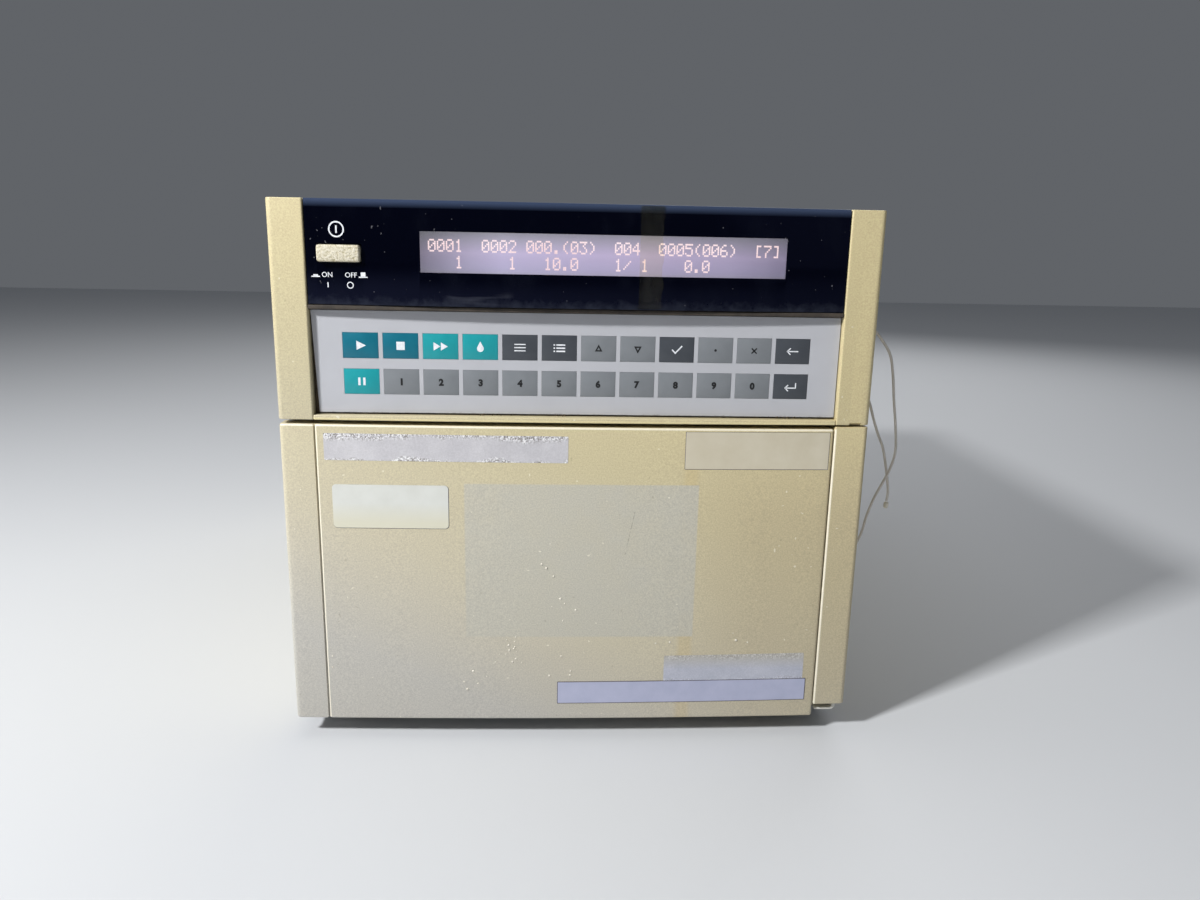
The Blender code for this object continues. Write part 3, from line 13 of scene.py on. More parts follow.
import bmesh
import bpy
import numpy as np
from mathutils import Matrix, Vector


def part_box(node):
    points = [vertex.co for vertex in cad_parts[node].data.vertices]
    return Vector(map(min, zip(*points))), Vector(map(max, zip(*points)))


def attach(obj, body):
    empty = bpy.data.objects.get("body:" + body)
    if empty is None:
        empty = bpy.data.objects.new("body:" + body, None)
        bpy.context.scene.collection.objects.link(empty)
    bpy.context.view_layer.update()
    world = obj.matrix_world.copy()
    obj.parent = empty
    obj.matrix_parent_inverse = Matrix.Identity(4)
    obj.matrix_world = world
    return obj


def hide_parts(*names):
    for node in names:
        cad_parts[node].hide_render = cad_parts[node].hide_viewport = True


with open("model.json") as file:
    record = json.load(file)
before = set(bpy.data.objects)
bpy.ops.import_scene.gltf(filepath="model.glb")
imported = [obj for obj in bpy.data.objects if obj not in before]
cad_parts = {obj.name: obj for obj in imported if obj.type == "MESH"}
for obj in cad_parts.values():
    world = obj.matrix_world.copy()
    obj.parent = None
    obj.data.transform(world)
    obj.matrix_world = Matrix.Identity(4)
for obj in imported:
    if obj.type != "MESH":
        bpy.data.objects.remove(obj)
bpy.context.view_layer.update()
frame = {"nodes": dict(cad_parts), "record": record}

scene = bpy.context.scene
print("CAD nodes:", len(frame["nodes"]))

# %% [markdown]
# ## Camera, floor and light
#
# The camera stands where the photograph was taken from: half a metre in front, a little above
# the display, turned slightly left, tipped down and tilted by about a degree. Those angles come
# from lining up the corners of the front. The lens is 27 mm on a 36 mm wide picture, which makes
# the sides lean in towards the bottom as they do in the picture.

# %% Camera
LENS_MM = 27.0
CAMERA_PLACE = (-0.0120, -0.7524, 0.3020)
YAW, PITCH, ROLL = (math.radians(angle) for angle in (-2.813, 13.246, -1.167))

turn = np.array([[math.cos(YAW), math.sin(YAW), 0], [-math.sin(YAW), math.cos(YAW), 0], [0, 0, 1]])
tip = np.array([[1, 0, 0], [0, math.cos(PITCH), -math.sin(PITCH)],
                [0, math.sin(PITCH), math.cos(PITCH)]])
tilt = np.array([[math.cos(ROLL), 0, -math.sin(ROLL)], [0, 1, 0],
                 [math.sin(ROLL), 0, math.cos(ROLL)]])
right, ahead, up = tilt @ tip @ turn
camera = bpy.data.objects.new("camera", bpy.data.cameras.new("camera"))
camera.data.lens = LENS_MM
camera.data.clip_start = 0.02
camera.matrix_world = Matrix.Translation(CAMERA_PLACE) @ Matrix(
    np.column_stack([right, up, -ahead]).tolist()).to_4x4()
scene.collection.objects.link(camera)
scene.camera = camera
print("camera looks along", np.round(ahead, 3))

# %% [markdown]
# Every colour in this file is written as the sRGB hex value that a screen shows, and one function
# turns it into the linear numbers that Blender's shaders work with. One more function adds a
# shader node with its settings and links, and every material is built with it.

# %% Colours and nodes
def colour(code):
    """Linear RGBA of an sRGB hex value: each channel c becomes ((c + 0.055) / 1.055) ** 2.4."""
    channel = np.array([int(code[i:i + 2], 16) for i in (1, 3, 5)]) / 255
    linear = np.where(channel <= 0.04045, channel / 12.92, ((channel + 0.055) / 1.055) ** 2.4)
    return (*linear.tolist(), 1.0)


def feed(socket, value):
    """Give an input a number or a hex colour, or link an output to it."""
    if isinstance(value, bpy.types.NodeSocket):
        socket.id_data.links.new(value, socket)
    else:
        socket.default_value = colour(value) if isinstance(value, str) else value


def add(tree, kind, *values, stops=(), **named):
    """Add a node with its settings and links, and return its first output.

    Values go to the inputs in use, in their order. A name with a capital is an input too, with
    _ for a space, and any other name is a setting. Stops are a ramp's (place, hex) pairs.
    """
    made = tree.nodes.new("ShaderNode" + kind)
    for name, value in named.items():
        if name[0].islower():
            setattr(made, name, value)
    for _ in stops[2:]:
        made.color_ramp.elements.new(1.0)
    for i, (place, code) in enumerate(stops):
        made.color_ramp.elements[i].position = place
        made.color_ramp.elements[i].color = colour(code)
    for socket, value in zip([socket for socket in made.inputs if socket.enabled], values):
        feed(socket, value)
    for name, value in named.items():
        if name[0].isupper():
            feed(made.inputs[name.replace("_", " ")], value)
    return next(socket for socket in made.outputs if socket.enabled)


print("mid grey is", round(colour("#808080")[0], 3), "in linear light")

# %% [markdown]
# Most materials here are one substance with a slight drift of tone, a drift of gloss, and a fine
# grain that only the light shows. One function makes them, so each needs only its two shades and
# its sizes. Patterns are laid on Object coordinates, so their sizes are real metres.

# %% Materials
def start(name, **inputs):
    """A new material, its node tree, its shader and the Object coordinates to draw on."""
    material = bpy.data.materials.new(name)
    material.use_nodes = True
    tree = material.node_tree
    shader = tree.nodes["Principled BSDF"]
    for key, value in inputs.items():
        feed(shader.inputs[key.replace("_", " ")], value)
    print("material", name)
    return material, tree, shader.inputs, add(tree, "TexCoord").node.outputs["Object"]


def mottled(name, shades, size, grain, height, stretch=None, detail=3, **inputs):
    """Two shades in blobs of a size, gloss that drifts with them, and a grain of a height."""
    material, tree, surface, place = start(name, **inputs)
    if stretch:
        place = add(tree, "Mapping", place, Scale=stretch)
    tone = add(tree, "TexNoise", place, 1 / size, detail, 0.6)
    feed(surface["Base Color"], add(tree, "ValToRGB", tone,
                                    stops=[(0.3, shades[0]), (0.7, shades[1])]))
    gloss = inputs["Roughness"]
    feed(surface["Roughness"], add(tree, "MapRange", tone, 0, 1, 0.8 * gloss, 1.2 * gloss))
    fine = add(tree, "TexNoise", place, 1 / grain, 2, 0.6)
    feed(surface["Normal"], add(tree, "Bump", Height=fine, Distance=height))
    return material


# Plain matt paper sweep, very light grey.
pale_floor = start("pale_floor", Roughness=0.7, Base_Color="#CDCFD2")[0]

# %% [markdown]
# The floor is plain and pale. In the photograph the light comes from the upper left and is small
# enough for the bulging window to throw a clear arc of shadow on the keypad, so the key light is
# a small panel there. A wide panel on the right, one above, one behind and an even pale sky fill
# the rest in.

# %% Floor
FLOOR_HALF = 4.0
SQUARE = np.array([(-1, -1), (1, -1), (1, 1), (-1, 1)])
floor_mesh = bpy.data.meshes.new("floor")
floor_mesh.from_pydata([(x, y, 0) for x, y in FLOOR_HALF * SQUARE], [], [(0, 1, 2, 3)])
floor_mesh.materials.append(pale_floor)
floor = bpy.data.objects.new("floor", floor_mesh)
scene.collection.objects.link(floor)
print("the floor is", 2 * FLOOR_HALF, "m wide")

# %% Soft light
def lamp(name, place, target, width, watts):
    """A square area light at a place, aimed at a target."""
    light = bpy.data.lights.new(name, "AREA")
    light.size = width
    light.energy = watts
    made = bpy.data.objects.new(name, light)
    look = np.array(target) - np.array(place)
    made.matrix_world = (Matrix.Translation(place)
                         @ Matrix.Rotation(math.atan2(look[1], look[0]) - math.pi / 2, 4, "Z")
                         @ Matrix.Rotation(math.atan2(math.hypot(look[0], look[1]), -look[2]),
                                           4, "X"))
    scene.collection.objects.link(made)


FRONT_MIDDLE = (0, -0.2, 0.15)
lamp("key_light", (-1.15, -1.05, 1.25), FRONT_MIDDLE, 0.18, 41)
lamp("fill_light", (1.2, -1.7, 0.9), FRONT_MIDDLE, 1.6, 1.4)
lamp("top_light", (-0.5, 0.1, 2.0), (0, 0, 0.2), 1.2, 6)
lamp("rear_light", (0.7, 1.6, 1.3), (0, 0.2, 0.15), 1.4, 12)
world = bpy.data.worlds.new("pale_sky")
world.use_nodes = True
sky = world.node_tree.nodes["Background"].inputs
feed(sky["Color"], "#DDE3EC")
feed(sky["Strength"], 0.165)
scene.world = world
scene.view_settings.view_transform = "Standard"

# %% [markdown]
# ## How a piece is made
#
# Each new piece is a set of rings or a grid of points that numpy works out in one go. A ring
# carried between two planes gives a slab with rounded rims, a profile turned about an axis gives
# a lathe shape, and a grid with some cells left out gives a sheet with holes. A shape is kept as
# (points, faces), several shapes can be joined, and one function makes the object.

# %% Faces over rings and grids
def loft(rings, closed=True):
    """Faces over closed loops: rings has shape (n, m, 3), and face (i, j) joins rings i, i + 1."""
    n, m, _ = rings.shape
    first = np.arange(n - 1)[:, None] * m + np.arange(m)[None, :]
    after = np.arange(n - 1)[:, None] * m + (np.arange(m)[None, :] + 1) % m
    faces = np.stack([first, after, after + m, first + m], -1).reshape(-1, 4).tolist()
    if closed:
        faces.append(list(range(m))[::-1])
        faces.append(list(range((n - 1) * m, n * m)))
    return rings.reshape(-1, 3), faces


def grid(points, keep=None):
    """Faces over a grid of points (n, m, 3); keep is an (n-1, m-1) mask of cells that stay."""
    n, m, _ = points.shape
    index = np.arange(n * m).reshape(n, m)
    quads = np.stack([index[:-1, :-1], index[:-1, 1:], index[1:, 1:], index[1:, :-1]], -1)
    quads = quads.reshape(-1, 4) if keep is None else quads[keep]
    return points.reshape(-1, 3), quads.tolist()


print("a grid of 3 by 3 points has", len(grid(np.zeros((3, 3, 3)))[1]), "faces")

# %% Points in place
MM = 0.001


def in_mm(*rows):
    """Rows of millimetres as an array of metres."""
    return np.array(rows, float) * MM


def along(u, v, height, axis):
    """Points from two outline coordinates and a height, for an axis to carry them along."""
    order = {"z": (u, v, height), "y": (u, height, v), "x": (height, u, v)}[axis]
    return np.stack(np.broadcast_arrays(*order), -1)


def joined(shapes):
    """Several shapes as one, with their face numbers moved on."""
    points, faces, count = [], [], 0
    for own_points, own_faces in shapes:
        points.append(own_points)
        faces += [[i + count for i in face] for face in own_faces]
        count += len(own_points)
    return np.concatenate(points), faces


def repeated(shape, shifts):
    """Copies of one shape at several shifts, as one shape."""
    return joined([(shape[0] + shift, shape[1]) for shift in np.asarray(shifts, float)])


print("a point 1 mm up an axis along y:", along(0, 0, MM, "y"))

# %% Outlines
def circle(radius, count=40):
    """Points of a circle."""
    angle = 2 * math.pi * np.arange(count) / count
    return np.stack([radius * np.cos(angle), radius * np.sin(angle)], 1)


def outward(outline):
    """Outward normals of a closed outline, as long as keeps a drawn-in copy parallel to it."""
    before = outline - np.roll(outline, 1, 0)
    after = np.roll(outline, -1, 0) - outline
    normals = 0
    for edge in (before, after):
        edge = edge / np.linalg.norm(edge, axis=1, keepdims=True)
        normals = normals + np.stack([edge[:, 1], -edge[:, 0]], 1)
    x, y = outline.T
    turning = np.sign(np.sum(x * np.roll(y, -1) - np.roll(x, -1) * y))
    return turning * 2 * normals / np.sum(normals ** 2, 1, keepdims=True)


def round_rect(x, y, corner, steps=4):
    """Outline of a rectangle between two pairs of sides, with round corners."""
    angle = np.radians(np.linspace(0, 90, steps + 1)[None] + np.array([[0], [90], [180], [270]]))
    reach_x = (max(x) - min(x)) / 2 - corner
    reach_y = (max(y) - min(y)) / 2 - corner
    u = sum(x) / 2 + np.array([1, -1, -1, 1])[:, None] * reach_x + corner * np.cos(angle)
    v = sum(y) / 2 + np.array([1, 1, -1, -1])[:, None] * reach_y + corner * np.sin(angle)
    return np.stack([u.ravel(), v.ravel()], 1)


print("a rounded rectangle has", len(round_rect((0, 2), (0, 1), 0.1)), "points")

# %% Slabs and lathe shapes
def slab(outline, low, high, edge, axis="z", steps=3):
    """A solid over a closed outline between two planes, with rims rounded by edge.

    Ring k lies edge * (1 - cos a) inside its plane and is drawn in by edge * (1 - sin a),
    with a from 0 to a quarter turn.
    """
    outline = np.asarray(outline, float)
    angle = np.linspace(0, math.pi / 2, steps + 1)
    rise, inset = edge * (1 - np.cos(angle)), edge * (1 - np.sin(angle))
    level = np.concatenate([low + rise, (high - rise)[::-1]])[:, None]
    inset = np.concatenate([inset, inset[::-1]])[:, None, None]
    ring = outline[None] - inset * outward(outline)[None]
    return loft(along(ring[..., 0], ring[..., 1], level, axis))


def brick(x, y, z, edge, corner=None):
    """A block between three pairs of planes with all its edges rounded."""
    return slab(round_rect(x, y, corner or edge * 1.2), min(z), max(z), edge)


def lathe(profile, centre, axis="z", sides=32, teeth=0, depth=0.0, hollow=False):
    """Rows of (radius, height) turned about an axis: u = cu + r (1 - d cos(n a)) cos a.

    With teeth n and depth d it has a grip. A hollow one is a closed profile off the axis.
    """
    radius, height = np.asarray(profile, float).T[:, :, None]
    angle = 2 * math.pi * np.arange(sides) / sides
    radius = radius * (1 - depth * np.cos(teeth * angle))
    rings = along(centre[0] + radius * np.cos(angle), centre[1] + radius * np.sin(angle), height,
                  axis)
    return loft(np.concatenate([rings, rings[:1]]) if hollow else rings, closed=not hollow)


print("a brick has", len(brick((0, 1), (0, 1), (0, 1), 0.1)[1]), "faces")

# %% [markdown]
# An object takes a shape, a material and the body it rides on.
# Thickness and holes are Blender's Solidify and Boolean modifiers. They are applied at once, so
# that sharp edges can be marked on the final mesh and all other edges shade smoothly.

# %% Mesh objects
MERGE = 1e-6
FACING = 1e-7


def mesh_object(name, shape):
    """A mesh object of a shape, with doubled points merged and its normals outward.

    A sheet has no outside of its own, so one that lies on the front is made to face forward.
    """
    points, faces = shape
    mesh = bpy.data.meshes.new(name)
    mesh.from_pydata(np.asarray(points).tolist(), [], faces)
    work = bmesh.new()
    work.from_mesh(mesh)
    bmesh.ops.remove_doubles(work, verts=work.verts, dist=MERGE)
    bmesh.ops.recalc_face_normals(work, faces=work.faces)
    if sum(face.normal.y * face.calc_area() for face in work.faces) > FACING:
        bmesh.ops.reverse_faces(work, faces=work.faces)
    work.to_mesh(mesh)
    work.free()
    made = bpy.data.objects.new(name, mesh)
    scene.collection.objects.link(made)
    return made


def baked(made, sharp=35):
    """Keep what an object's modifiers give as its mesh, smooth except at sharp edges."""
    if made.modifiers:
        bpy.context.view_layer.update()
        graph = bpy.context.evaluated_depsgraph_get()
        made.data = bpy.data.meshes.new_from_object(made.evaluated_get(graph))
        made.modifiers.clear()
    made.data.shade_smooth()
    made.data.set_sharp_from_angle(angle=math.radians(sharp))
    return made


print("points closer than", MERGE, "m become one")

# %% Pieces and finishes
def piece(name, shape, material, body, replaced=(), wall=0.0, cuts=()):
    """An object of a shape with a material, riding on a body.

    A sheet gets its wall, and shapes can be cut out of it with exact Booleans.
    """
    made = mesh_object(name, shape)
    made.data.materials.append(material)
    if wall:
        solid = made.modifiers.new("wall", "SOLIDIFY")
        solid.thickness = wall
        solid.offset = -1
    cutters = [mesh_object("cutter", own) for own in cuts]
    for cutter in cutters:
        boolean = made.modifiers.new("cut", "BOOLEAN")
        boolean.operation = "DIFFERENCE"
        boolean.solver = "EXACT"
        boolean.object = cutter
    baked(made)
    for cutter in cutters:
        bpy.data.objects.remove(cutter, do_unlink=True)
    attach(made, body)
    if replaced:
        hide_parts(*replaced)
    print(name, "has", len(made.data.polygons), "faces")
    return made


def finish_nodes(names, material):
    """Give CAD nodes that keep their shape a better material in their own slots."""
    for name in names:
        for slot in frame["nodes"][name].material_slots:
            slot.material = material
    print(*names, "in", material.name)

# %% [markdown]
# ## The free tubes
#
# Two clear plastic tubes, 1.6 mm thick and as stiff as the tubing of liquid chromatography is,
# stand off the right side. The upper one leaves the case behind the bezel and goes back in lower
# down; the other leaves lower and hangs, ending in a small fitting. Their routes are the CAD
# routes, as places out from the cover and down from the top, on a smooth curve through them.
# The cover's box reaches past its side by the low bosses that the tubes leave from.

# %% Tube routes
BOSS = 0.0015
COVER_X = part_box("outer_cover")[1].x - BOSS
FRAME_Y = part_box("outer_cover")[0].y
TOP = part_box("front_bezel")[1].z
UPPER_TUBE = ((0.0018, 0.0660), (0.0075, 0.0678), (0.0137, 0.0745), (0.0193, 0.0832),
              (0.0221, 0.0953), (0.0240, 0.1095), (0.0268, 0.1275), (0.0281, 0.1425),
              (0.0258, 0.1535), (0.0220, 0.1625), (0.0179, 0.1715), (0.0139, 0.1835),
              (0.0115, 0.1950), (0.0075, 0.2040), (0.0018, 0.2060))
LOWER_TUBE = ((0.0018, 0.1050), (0.0073, 0.1072), (0.0112, 0.1130), (0.0147, 0.1232),
              (0.0185, 0.1332), (0.0221, 0.1410), (0.0245, 0.1500), (0.0268, 0.1610),
              (0.0282, 0.1700), (0.0279, 0.1760))
UPPER_BACK, LOWER_BACK = 0.0083, 0.0143
POINTS_PER_SPAN = 10


def smooth_route(line, y):
    """A curve through the line's points: each span is the cubic whose slopes at its two ends
    are half the step from the point before to the point after."""
    knots = np.array([(COVER_X + out, y, TOP - down) for out, down in line])
    padded = np.concatenate([2 * knots[:1] - knots[1:2], knots, 2 * knots[-1:] - knots[-2:-1]])
    a, b, c, d = (padded[i:len(padded) - 3 + i, None] for i in range(4))
    t = (np.arange(POINTS_PER_SPAN) / POINTS_PER_SPAN)[None, :, None]
    curve = 0.5 * (2 * b + (c - a) * t + (2 * a - 5 * b + 4 * c - d) * t ** 2
                   + (3 * b - a - 3 * c + d) * t ** 3)
    return np.concatenate([curve.reshape(-1, 3), knots[-1:]])


upper_route = smooth_route(UPPER_TUBE, FRAME_Y + UPPER_BACK)
lower_route = smooth_route(LOWER_TUBE, FRAME_Y + LOWER_BACK)
print("points on the two routes:", len(upper_route), len(lower_route))

# %% Tubes
TUBE_RADIUS = 0.0008


def tube(name, route, material):
    """A bevelled curve along a route, closed at both ends."""
    line = bpy.data.curves.new(name, "CURVE")
    line.dimensions = "3D"
    line.bevel_depth = TUBE_RADIUS
    line.bevel_resolution = 4
    line.use_fill_caps = True
    spline = line.splines.new("POLY")
    spline.points.add(len(route) - 1)
    spline.points.foreach_set("co", np.column_stack([route, np.ones(len(route))]).ravel())
    line.materials.append(material)
    made = bpy.data.objects.new(name, line)
    scene.collection.objects.link(made)
    length = np.linalg.norm(np.diff(route, axis=0), axis=1).sum()
    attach(made, "case")
    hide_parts(name)
    print(name, "is", round(length / MM, 1), "mm long")
    return made, float(length)


# Clear fluoropolymer tube, extruded: it shows as pale grey lines with bright edges.
clear_tube, tree, surface, place = start(
    "clear_fluoropolymer_tube", Roughness=0.08, IOR=1.36, Coat_Weight=0.5, Base_Color="#E2DBD2",
    Transmission_Weight=0.3)
feed(surface["Normal"], add(tree, "Bump", Height=add(tree, "TexNoise", place, 1 / 0.002),
                            Distance=0.00005))
upper_tube, upper_length = tube("tube_upper", upper_route, clear_tube)
lower_tube, lower_length = tube("tube_lower", lower_route, clear_tube)

# %% [markdown]
# The lower tube ends in a small moulded fitting, less than 3 mm across. It is a lathe shape
# with a ribbed grip, stood along the tube's last direction. Where a tube meets the case there
# is a small collar of the same ivory plastic.

# %% Tube fitting and collars
# Moulded acetal: ivory white and a little glossy.
ivory_acetal = mottled("moulded_acetal", ("#C9C2B0", "#E4DFD2"), 0.004, 0.0008, 0.00004,
                       Roughness=0.35)
FITTING = in_mm((0.0, 0.6), (0.9, 0.6), (1.1, 0.9), (1.4, 1.2), (1.4, 3.9), (1.2, 4.3),
                (0.9, 4.5), (0.8, 4.8), (0.0, 4.8))
GRIP_RIBS = 8
points, faces = lathe(FITTING, (0, 0), "z", 48, GRIP_RIBS, 0.05)
direction = lower_route[-1] - lower_route[-2]
direction = direction / np.linalg.norm(direction)
side = np.cross(direction, (0, 1, 0))
points = lower_route[-1] + points @ np.stack([side, -np.cross(side, direction), direction])
fitting = piece("tube_fitting", (points, faces), ivory_acetal, "case")

COLLAR = in_mm((0.0, -0.7), (4.0, -0.7), (4.0, 0.9), (3.6, 1.35), (2.2, 1.5), (1.2, 1.5),
               (0.9, 1.2), (0.0, 1.2))
piece("tube_collars", joined([lathe(COLLAR + (0, COVER_X), spot[1:], "x")
                              for spot in (upper_route[0], upper_route[-1], lower_route[0])]),
      ivory_acetal, "case")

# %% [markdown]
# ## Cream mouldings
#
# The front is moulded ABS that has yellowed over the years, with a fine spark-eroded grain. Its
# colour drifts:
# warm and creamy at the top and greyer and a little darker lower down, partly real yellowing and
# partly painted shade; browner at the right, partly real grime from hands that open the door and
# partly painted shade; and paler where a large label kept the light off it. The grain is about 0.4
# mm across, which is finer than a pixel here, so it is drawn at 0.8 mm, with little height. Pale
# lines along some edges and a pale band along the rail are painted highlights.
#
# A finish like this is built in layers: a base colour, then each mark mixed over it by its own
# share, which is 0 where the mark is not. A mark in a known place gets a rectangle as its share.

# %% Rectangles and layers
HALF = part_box("front_bezel")[1].x
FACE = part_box("door")[0].y
FACE_BULGE = 0.003


def rectangle(tree, place, x, z, soft):
    """1 inside a rectangle on the front, 0 outside, with an edge soft metres wide.

    Each side gives clamp((half - abs(p - middle)) / soft + 0.5), and the two are multiplied.
    """
    split = add(tree, "SeparateXYZ", place).node.outputs
    sides = []
    for (low, high), axis in ((x, "X"), (z, "Z")):
        away = add(tree, "Math", split[axis], (low + high) / 2, operation="SUBTRACT")
        away = add(tree, "Math", away, operation="ABSOLUTE")
        half = (high - low) / 2
        sides.append(add(tree, "MapRange", away, half + soft / 2, half - soft / 2))
    return add(tree, "Math", *sides, operation="MULTIPLY")


def painted(tree, base, layers):
    """Colours mixed over a base in turn: a layer is (share, colour), or (..., blend type)."""
    for share, layer, *blend in layers:
        base = add(tree, "Mix", share, base, layer, data_type="RGBA",
                   blend_type=blend[0] if blend else "MIX")
    return base


print("the front is", round(2 * HALF / MM), "mm wide")

# %% Yellowed ABS
GRAIN = 0.0008
CLOUD, SMUDGE, SPECK = 0.11, 0.02, 0.0024
SLANT = 0.45
SKIN = 0.0012


def yellowed(name, patches, scratch=None):
    """Aged cream ABS. Each patch is (x range, z range, hex, strength, edge width).

    Its age and shade is x * slant + z. It sets a colour that is partly real yellowing and partly
    painted shade, greyer and darker lower down. Patches stay on the outer face: y less than the
    front's arc, f + b (x / h) ** 2, plus a skin.
    """
    material, tree, surface, place = start(name)
    split = add(tree, "SeparateXYZ", place).node.outputs
    age_and_shade = add(tree, "Math", split["X"], SLANT, split["Z"], operation="MULTIPLY_ADD")
    # Base colour by age and height: partly real yellowing, partly painted shade that is greyer and
    # darker lower down.
    base = add(tree, "ValToRGB", add(tree, "MapRange", age_and_shade, 0, 0.9 * TOP),
               stops=[(0.0, "#B4B2AE"), (0.27, "#BFB8A5"), (0.6, "#C2B899"), (1.0, "#CABC95")])
    arc = add(tree, "Math", split["X"], split["X"], operation="MULTIPLY")
    arc = add(tree, "Math", arc, FACE_BULGE / HALF ** 2, FACE + SKIN, operation="MULTIPLY_ADD")
    outside = add(tree, "Math", split["Y"], arc, operation="LESS_THAN")
    cloud = add(tree, "TexNoise", place, 1 / CLOUD, 4, 0.6)
    worn = add(tree, "TexNoise", place, 1 / SMUDGE, 5, 0.7)
    fine = add(tree, "TexNoise", place, 1 / GRAIN, 2, 0.6)
    speck = add(tree, "TexNoise", place, 1 / SPECK, 0, 0.6)
    layers = [(add(tree, "ValToRGB", cloud, stops=[(0.4, "#000000"), (0.8, "#484848")]),
               "#B5AB8B")]
    for x, z, code, strength, soft in patches:
        inside = add(tree, "Math", rectangle(tree, place, x, z, soft), outside,
                     operation="MULTIPLY")
        share = add(tree, "MapRange", worn, 0.3, 0.6, strength * 0.85, strength)
        layers.append((add(tree, "Math", inside, share, operation="MULTIPLY"), code))
    grain = add(tree, "ValToRGB", fine, stops=[(0.3, "#8F8770"), (0.7, "#FFF9E2")])
    pale = add(tree, "ValToRGB", speck, stops=[(0.84, "#000000"), (0.87, "#D0D0D0")])
    dark = add(tree, "ValToRGB", speck, stops=[(0.13, "#909090"), (0.16, "#000000")])
    layers += [(0.20, grain, "OVERLAY"), (pale, "#E9E4D2"), (dark, "#7C735A")]
    if scratch:
        lean, x, z, soft, code = scratch
        leaning = add(tree, "Mapping", place, Rotation=(0, lean, 0))
        line = add(tree, "Math", rectangle(tree, leaning, x, z, soft), outside,
                   operation="MULTIPLY")
        gaps = add(tree, "ValToRGB", add(tree, "TexNoise", place, 1 / 0.003, 3, 0.6),
                   stops=[(0.42, "#000000"), (0.55, "#C0C0C0")])
        layers.append((add(tree, "Math", line, gaps, operation="MULTIPLY"), code))
    feed(surface["Base Color"], painted(tree, base, layers))
    feed(surface["Roughness"], add(tree, "MapRange", fine, 0, 1, 0.34, 0.46))
    feed(surface["Normal"], add(tree, "Bump", Height=fine, Distance=0.00005, Strength=0.5))
    return material


print("grain drawn at", GRAIN / MM, "mm")

# %% Faded and handled places, painted shade and painted highlights
LABEL_SHADE = ((-0.0655, 0.0714), (0.0668, 0.1622), "#B6B4AB", 0.95, 0.0008)
TAPE_LINE = ((0.0625, 0.0708), (0.0, 0.2), "#BFAB7B", 0.36, 0.0030)
# Browner patch at the right of the door and columns: partly real grime from hands, partly painted
# shade where the light falls off towards the right.
HANDLED_AND_SHADED = ((0.080, 0.200), (0.010, 0.172), "#A0937A", 0.34, 0.060)
SCRATCH = (math.radians(-11), (0.00545, 0.00580), (0.1225, 0.1497), 0.0003, "#4A4438")
# Pale lines along the groove's chamfer, the door's left and top edges and the right column's inner
# edge are painted highlights.
EDGE_HIGHLIGHT = ("#EDE7D6", 0.85, 0.0003)
COLUMN_X = HALF - 0.020
groove_x, top_z = -COLUMN_X + 0.0002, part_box("door")[1].z
DOOR_EDGE_HIGHLIGHTS = [((groove_x + 0.0003, groove_x + 0.0012), (0.0, top_z), *EDGE_HIGHLIGHT),
              ((-HALF - 0.001, -HALF + 0.0006), (0.0, top_z), *EDGE_HIGHLIGHT),
              ((-HALF, COLUMN_X), (top_z - 0.0010, top_z + 0.001), *EDGE_HIGHLIGHT)]
COLUMN_EDGE_HIGHLIGHT = ((COLUMN_X - 0.001, COLUMN_X + 0.0010), (0.0, top_z), *EDGE_HIGHLIGHT)
# A paler band just above the door, along the rail: a painted highlight on the upward-facing rail.
RAIL_HIGHLIGHT = ((-COLUMN_X, COLUMN_X), (top_z, top_z + 0.0040), "#E2D4A6", 0.8, 0.0003)
door_abs = yellowed("yellowed_abs_door", [HANDLED_AND_SHADED, TAPE_LINE, LABEL_SHADE, *DOOR_EDGE_HIGHLIGHTS], SCRATCH)
cream_abs = yellowed("yellowed_abs_moulding", [HANDLED_AND_SHADED, COLUMN_EDGE_HIGHLIGHT, RAIL_HIGHLIGHT])

# %% [markdown]
# ## The door and the two columns
#
# Seen from above, the front is a shallow arc: it stands 3 mm further out in the middle than at
# the sides. Each moulding is that arc between two places across the width, closed at the back,
# and carried up with rounded rims. The door also has a groove where the left column seems to
# end, steep at the left and with a chamfer at the right that catches the light. It is hollow at
# the back, so a second, smaller slab is cut out of it.

# %% The front's own curve
FRONT_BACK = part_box("front_bezel")[1].y
CORNER, SMALL_CORNER = 0.003, 0.0009
SMALL_EDGE = 0.0006
GROOVE_REACH = 0.0025


def face_y(x):
    """Front of the door, the columns and the bezel: an arc that falls back by x squared."""
    return FACE + FACE_BULGE * (np.asarray(x) / HALF) ** 2


def corner_arc(x, radius, left):
    """A rounded corner from above; left corners turn from the side to the front."""
    angle = np.radians(np.linspace(180, 270, 7) if left else np.linspace(270, 360, 7))
    centre_x = x + radius if left else x - radius
    return np.stack([centre_x + radius * np.cos(angle),
                     face_y(centre_x) + radius + radius * np.sin(angle)], 1)


def front_outline(x0, x1, back, left, right, inset=0.0, groove=None, count=40):
    """Outline from above: back left, round the left corner, the arc, the right corner, back.

    A groove is its middle and rows of (step aside, depth), joined by straight lines.
    """
    xs = np.linspace(x0 + left, x1 - right, count)
    ys = face_y(xs)
    if groove is not None:
        middle, steps = groove
        xs = np.union1d(xs[np.abs(xs - middle) > GROOVE_REACH], middle + steps[:, 0])
        ys = face_y(xs) + np.interp(xs - middle, steps[:, 0], steps[:, 1])
    middle_part = np.stack([xs, ys], 1)[1:-1]
    outline = np.concatenate([[(x0, back)], corner_arc(x0, left, True), middle_part,
                              corner_arc(x1, right, False), [(x1, back)]])
    outline[1:-1, 1] += inset
    return outline


print("the front falls back", round(float(face_y(HALF) - FACE) / MM, 1), "mm at its sides")

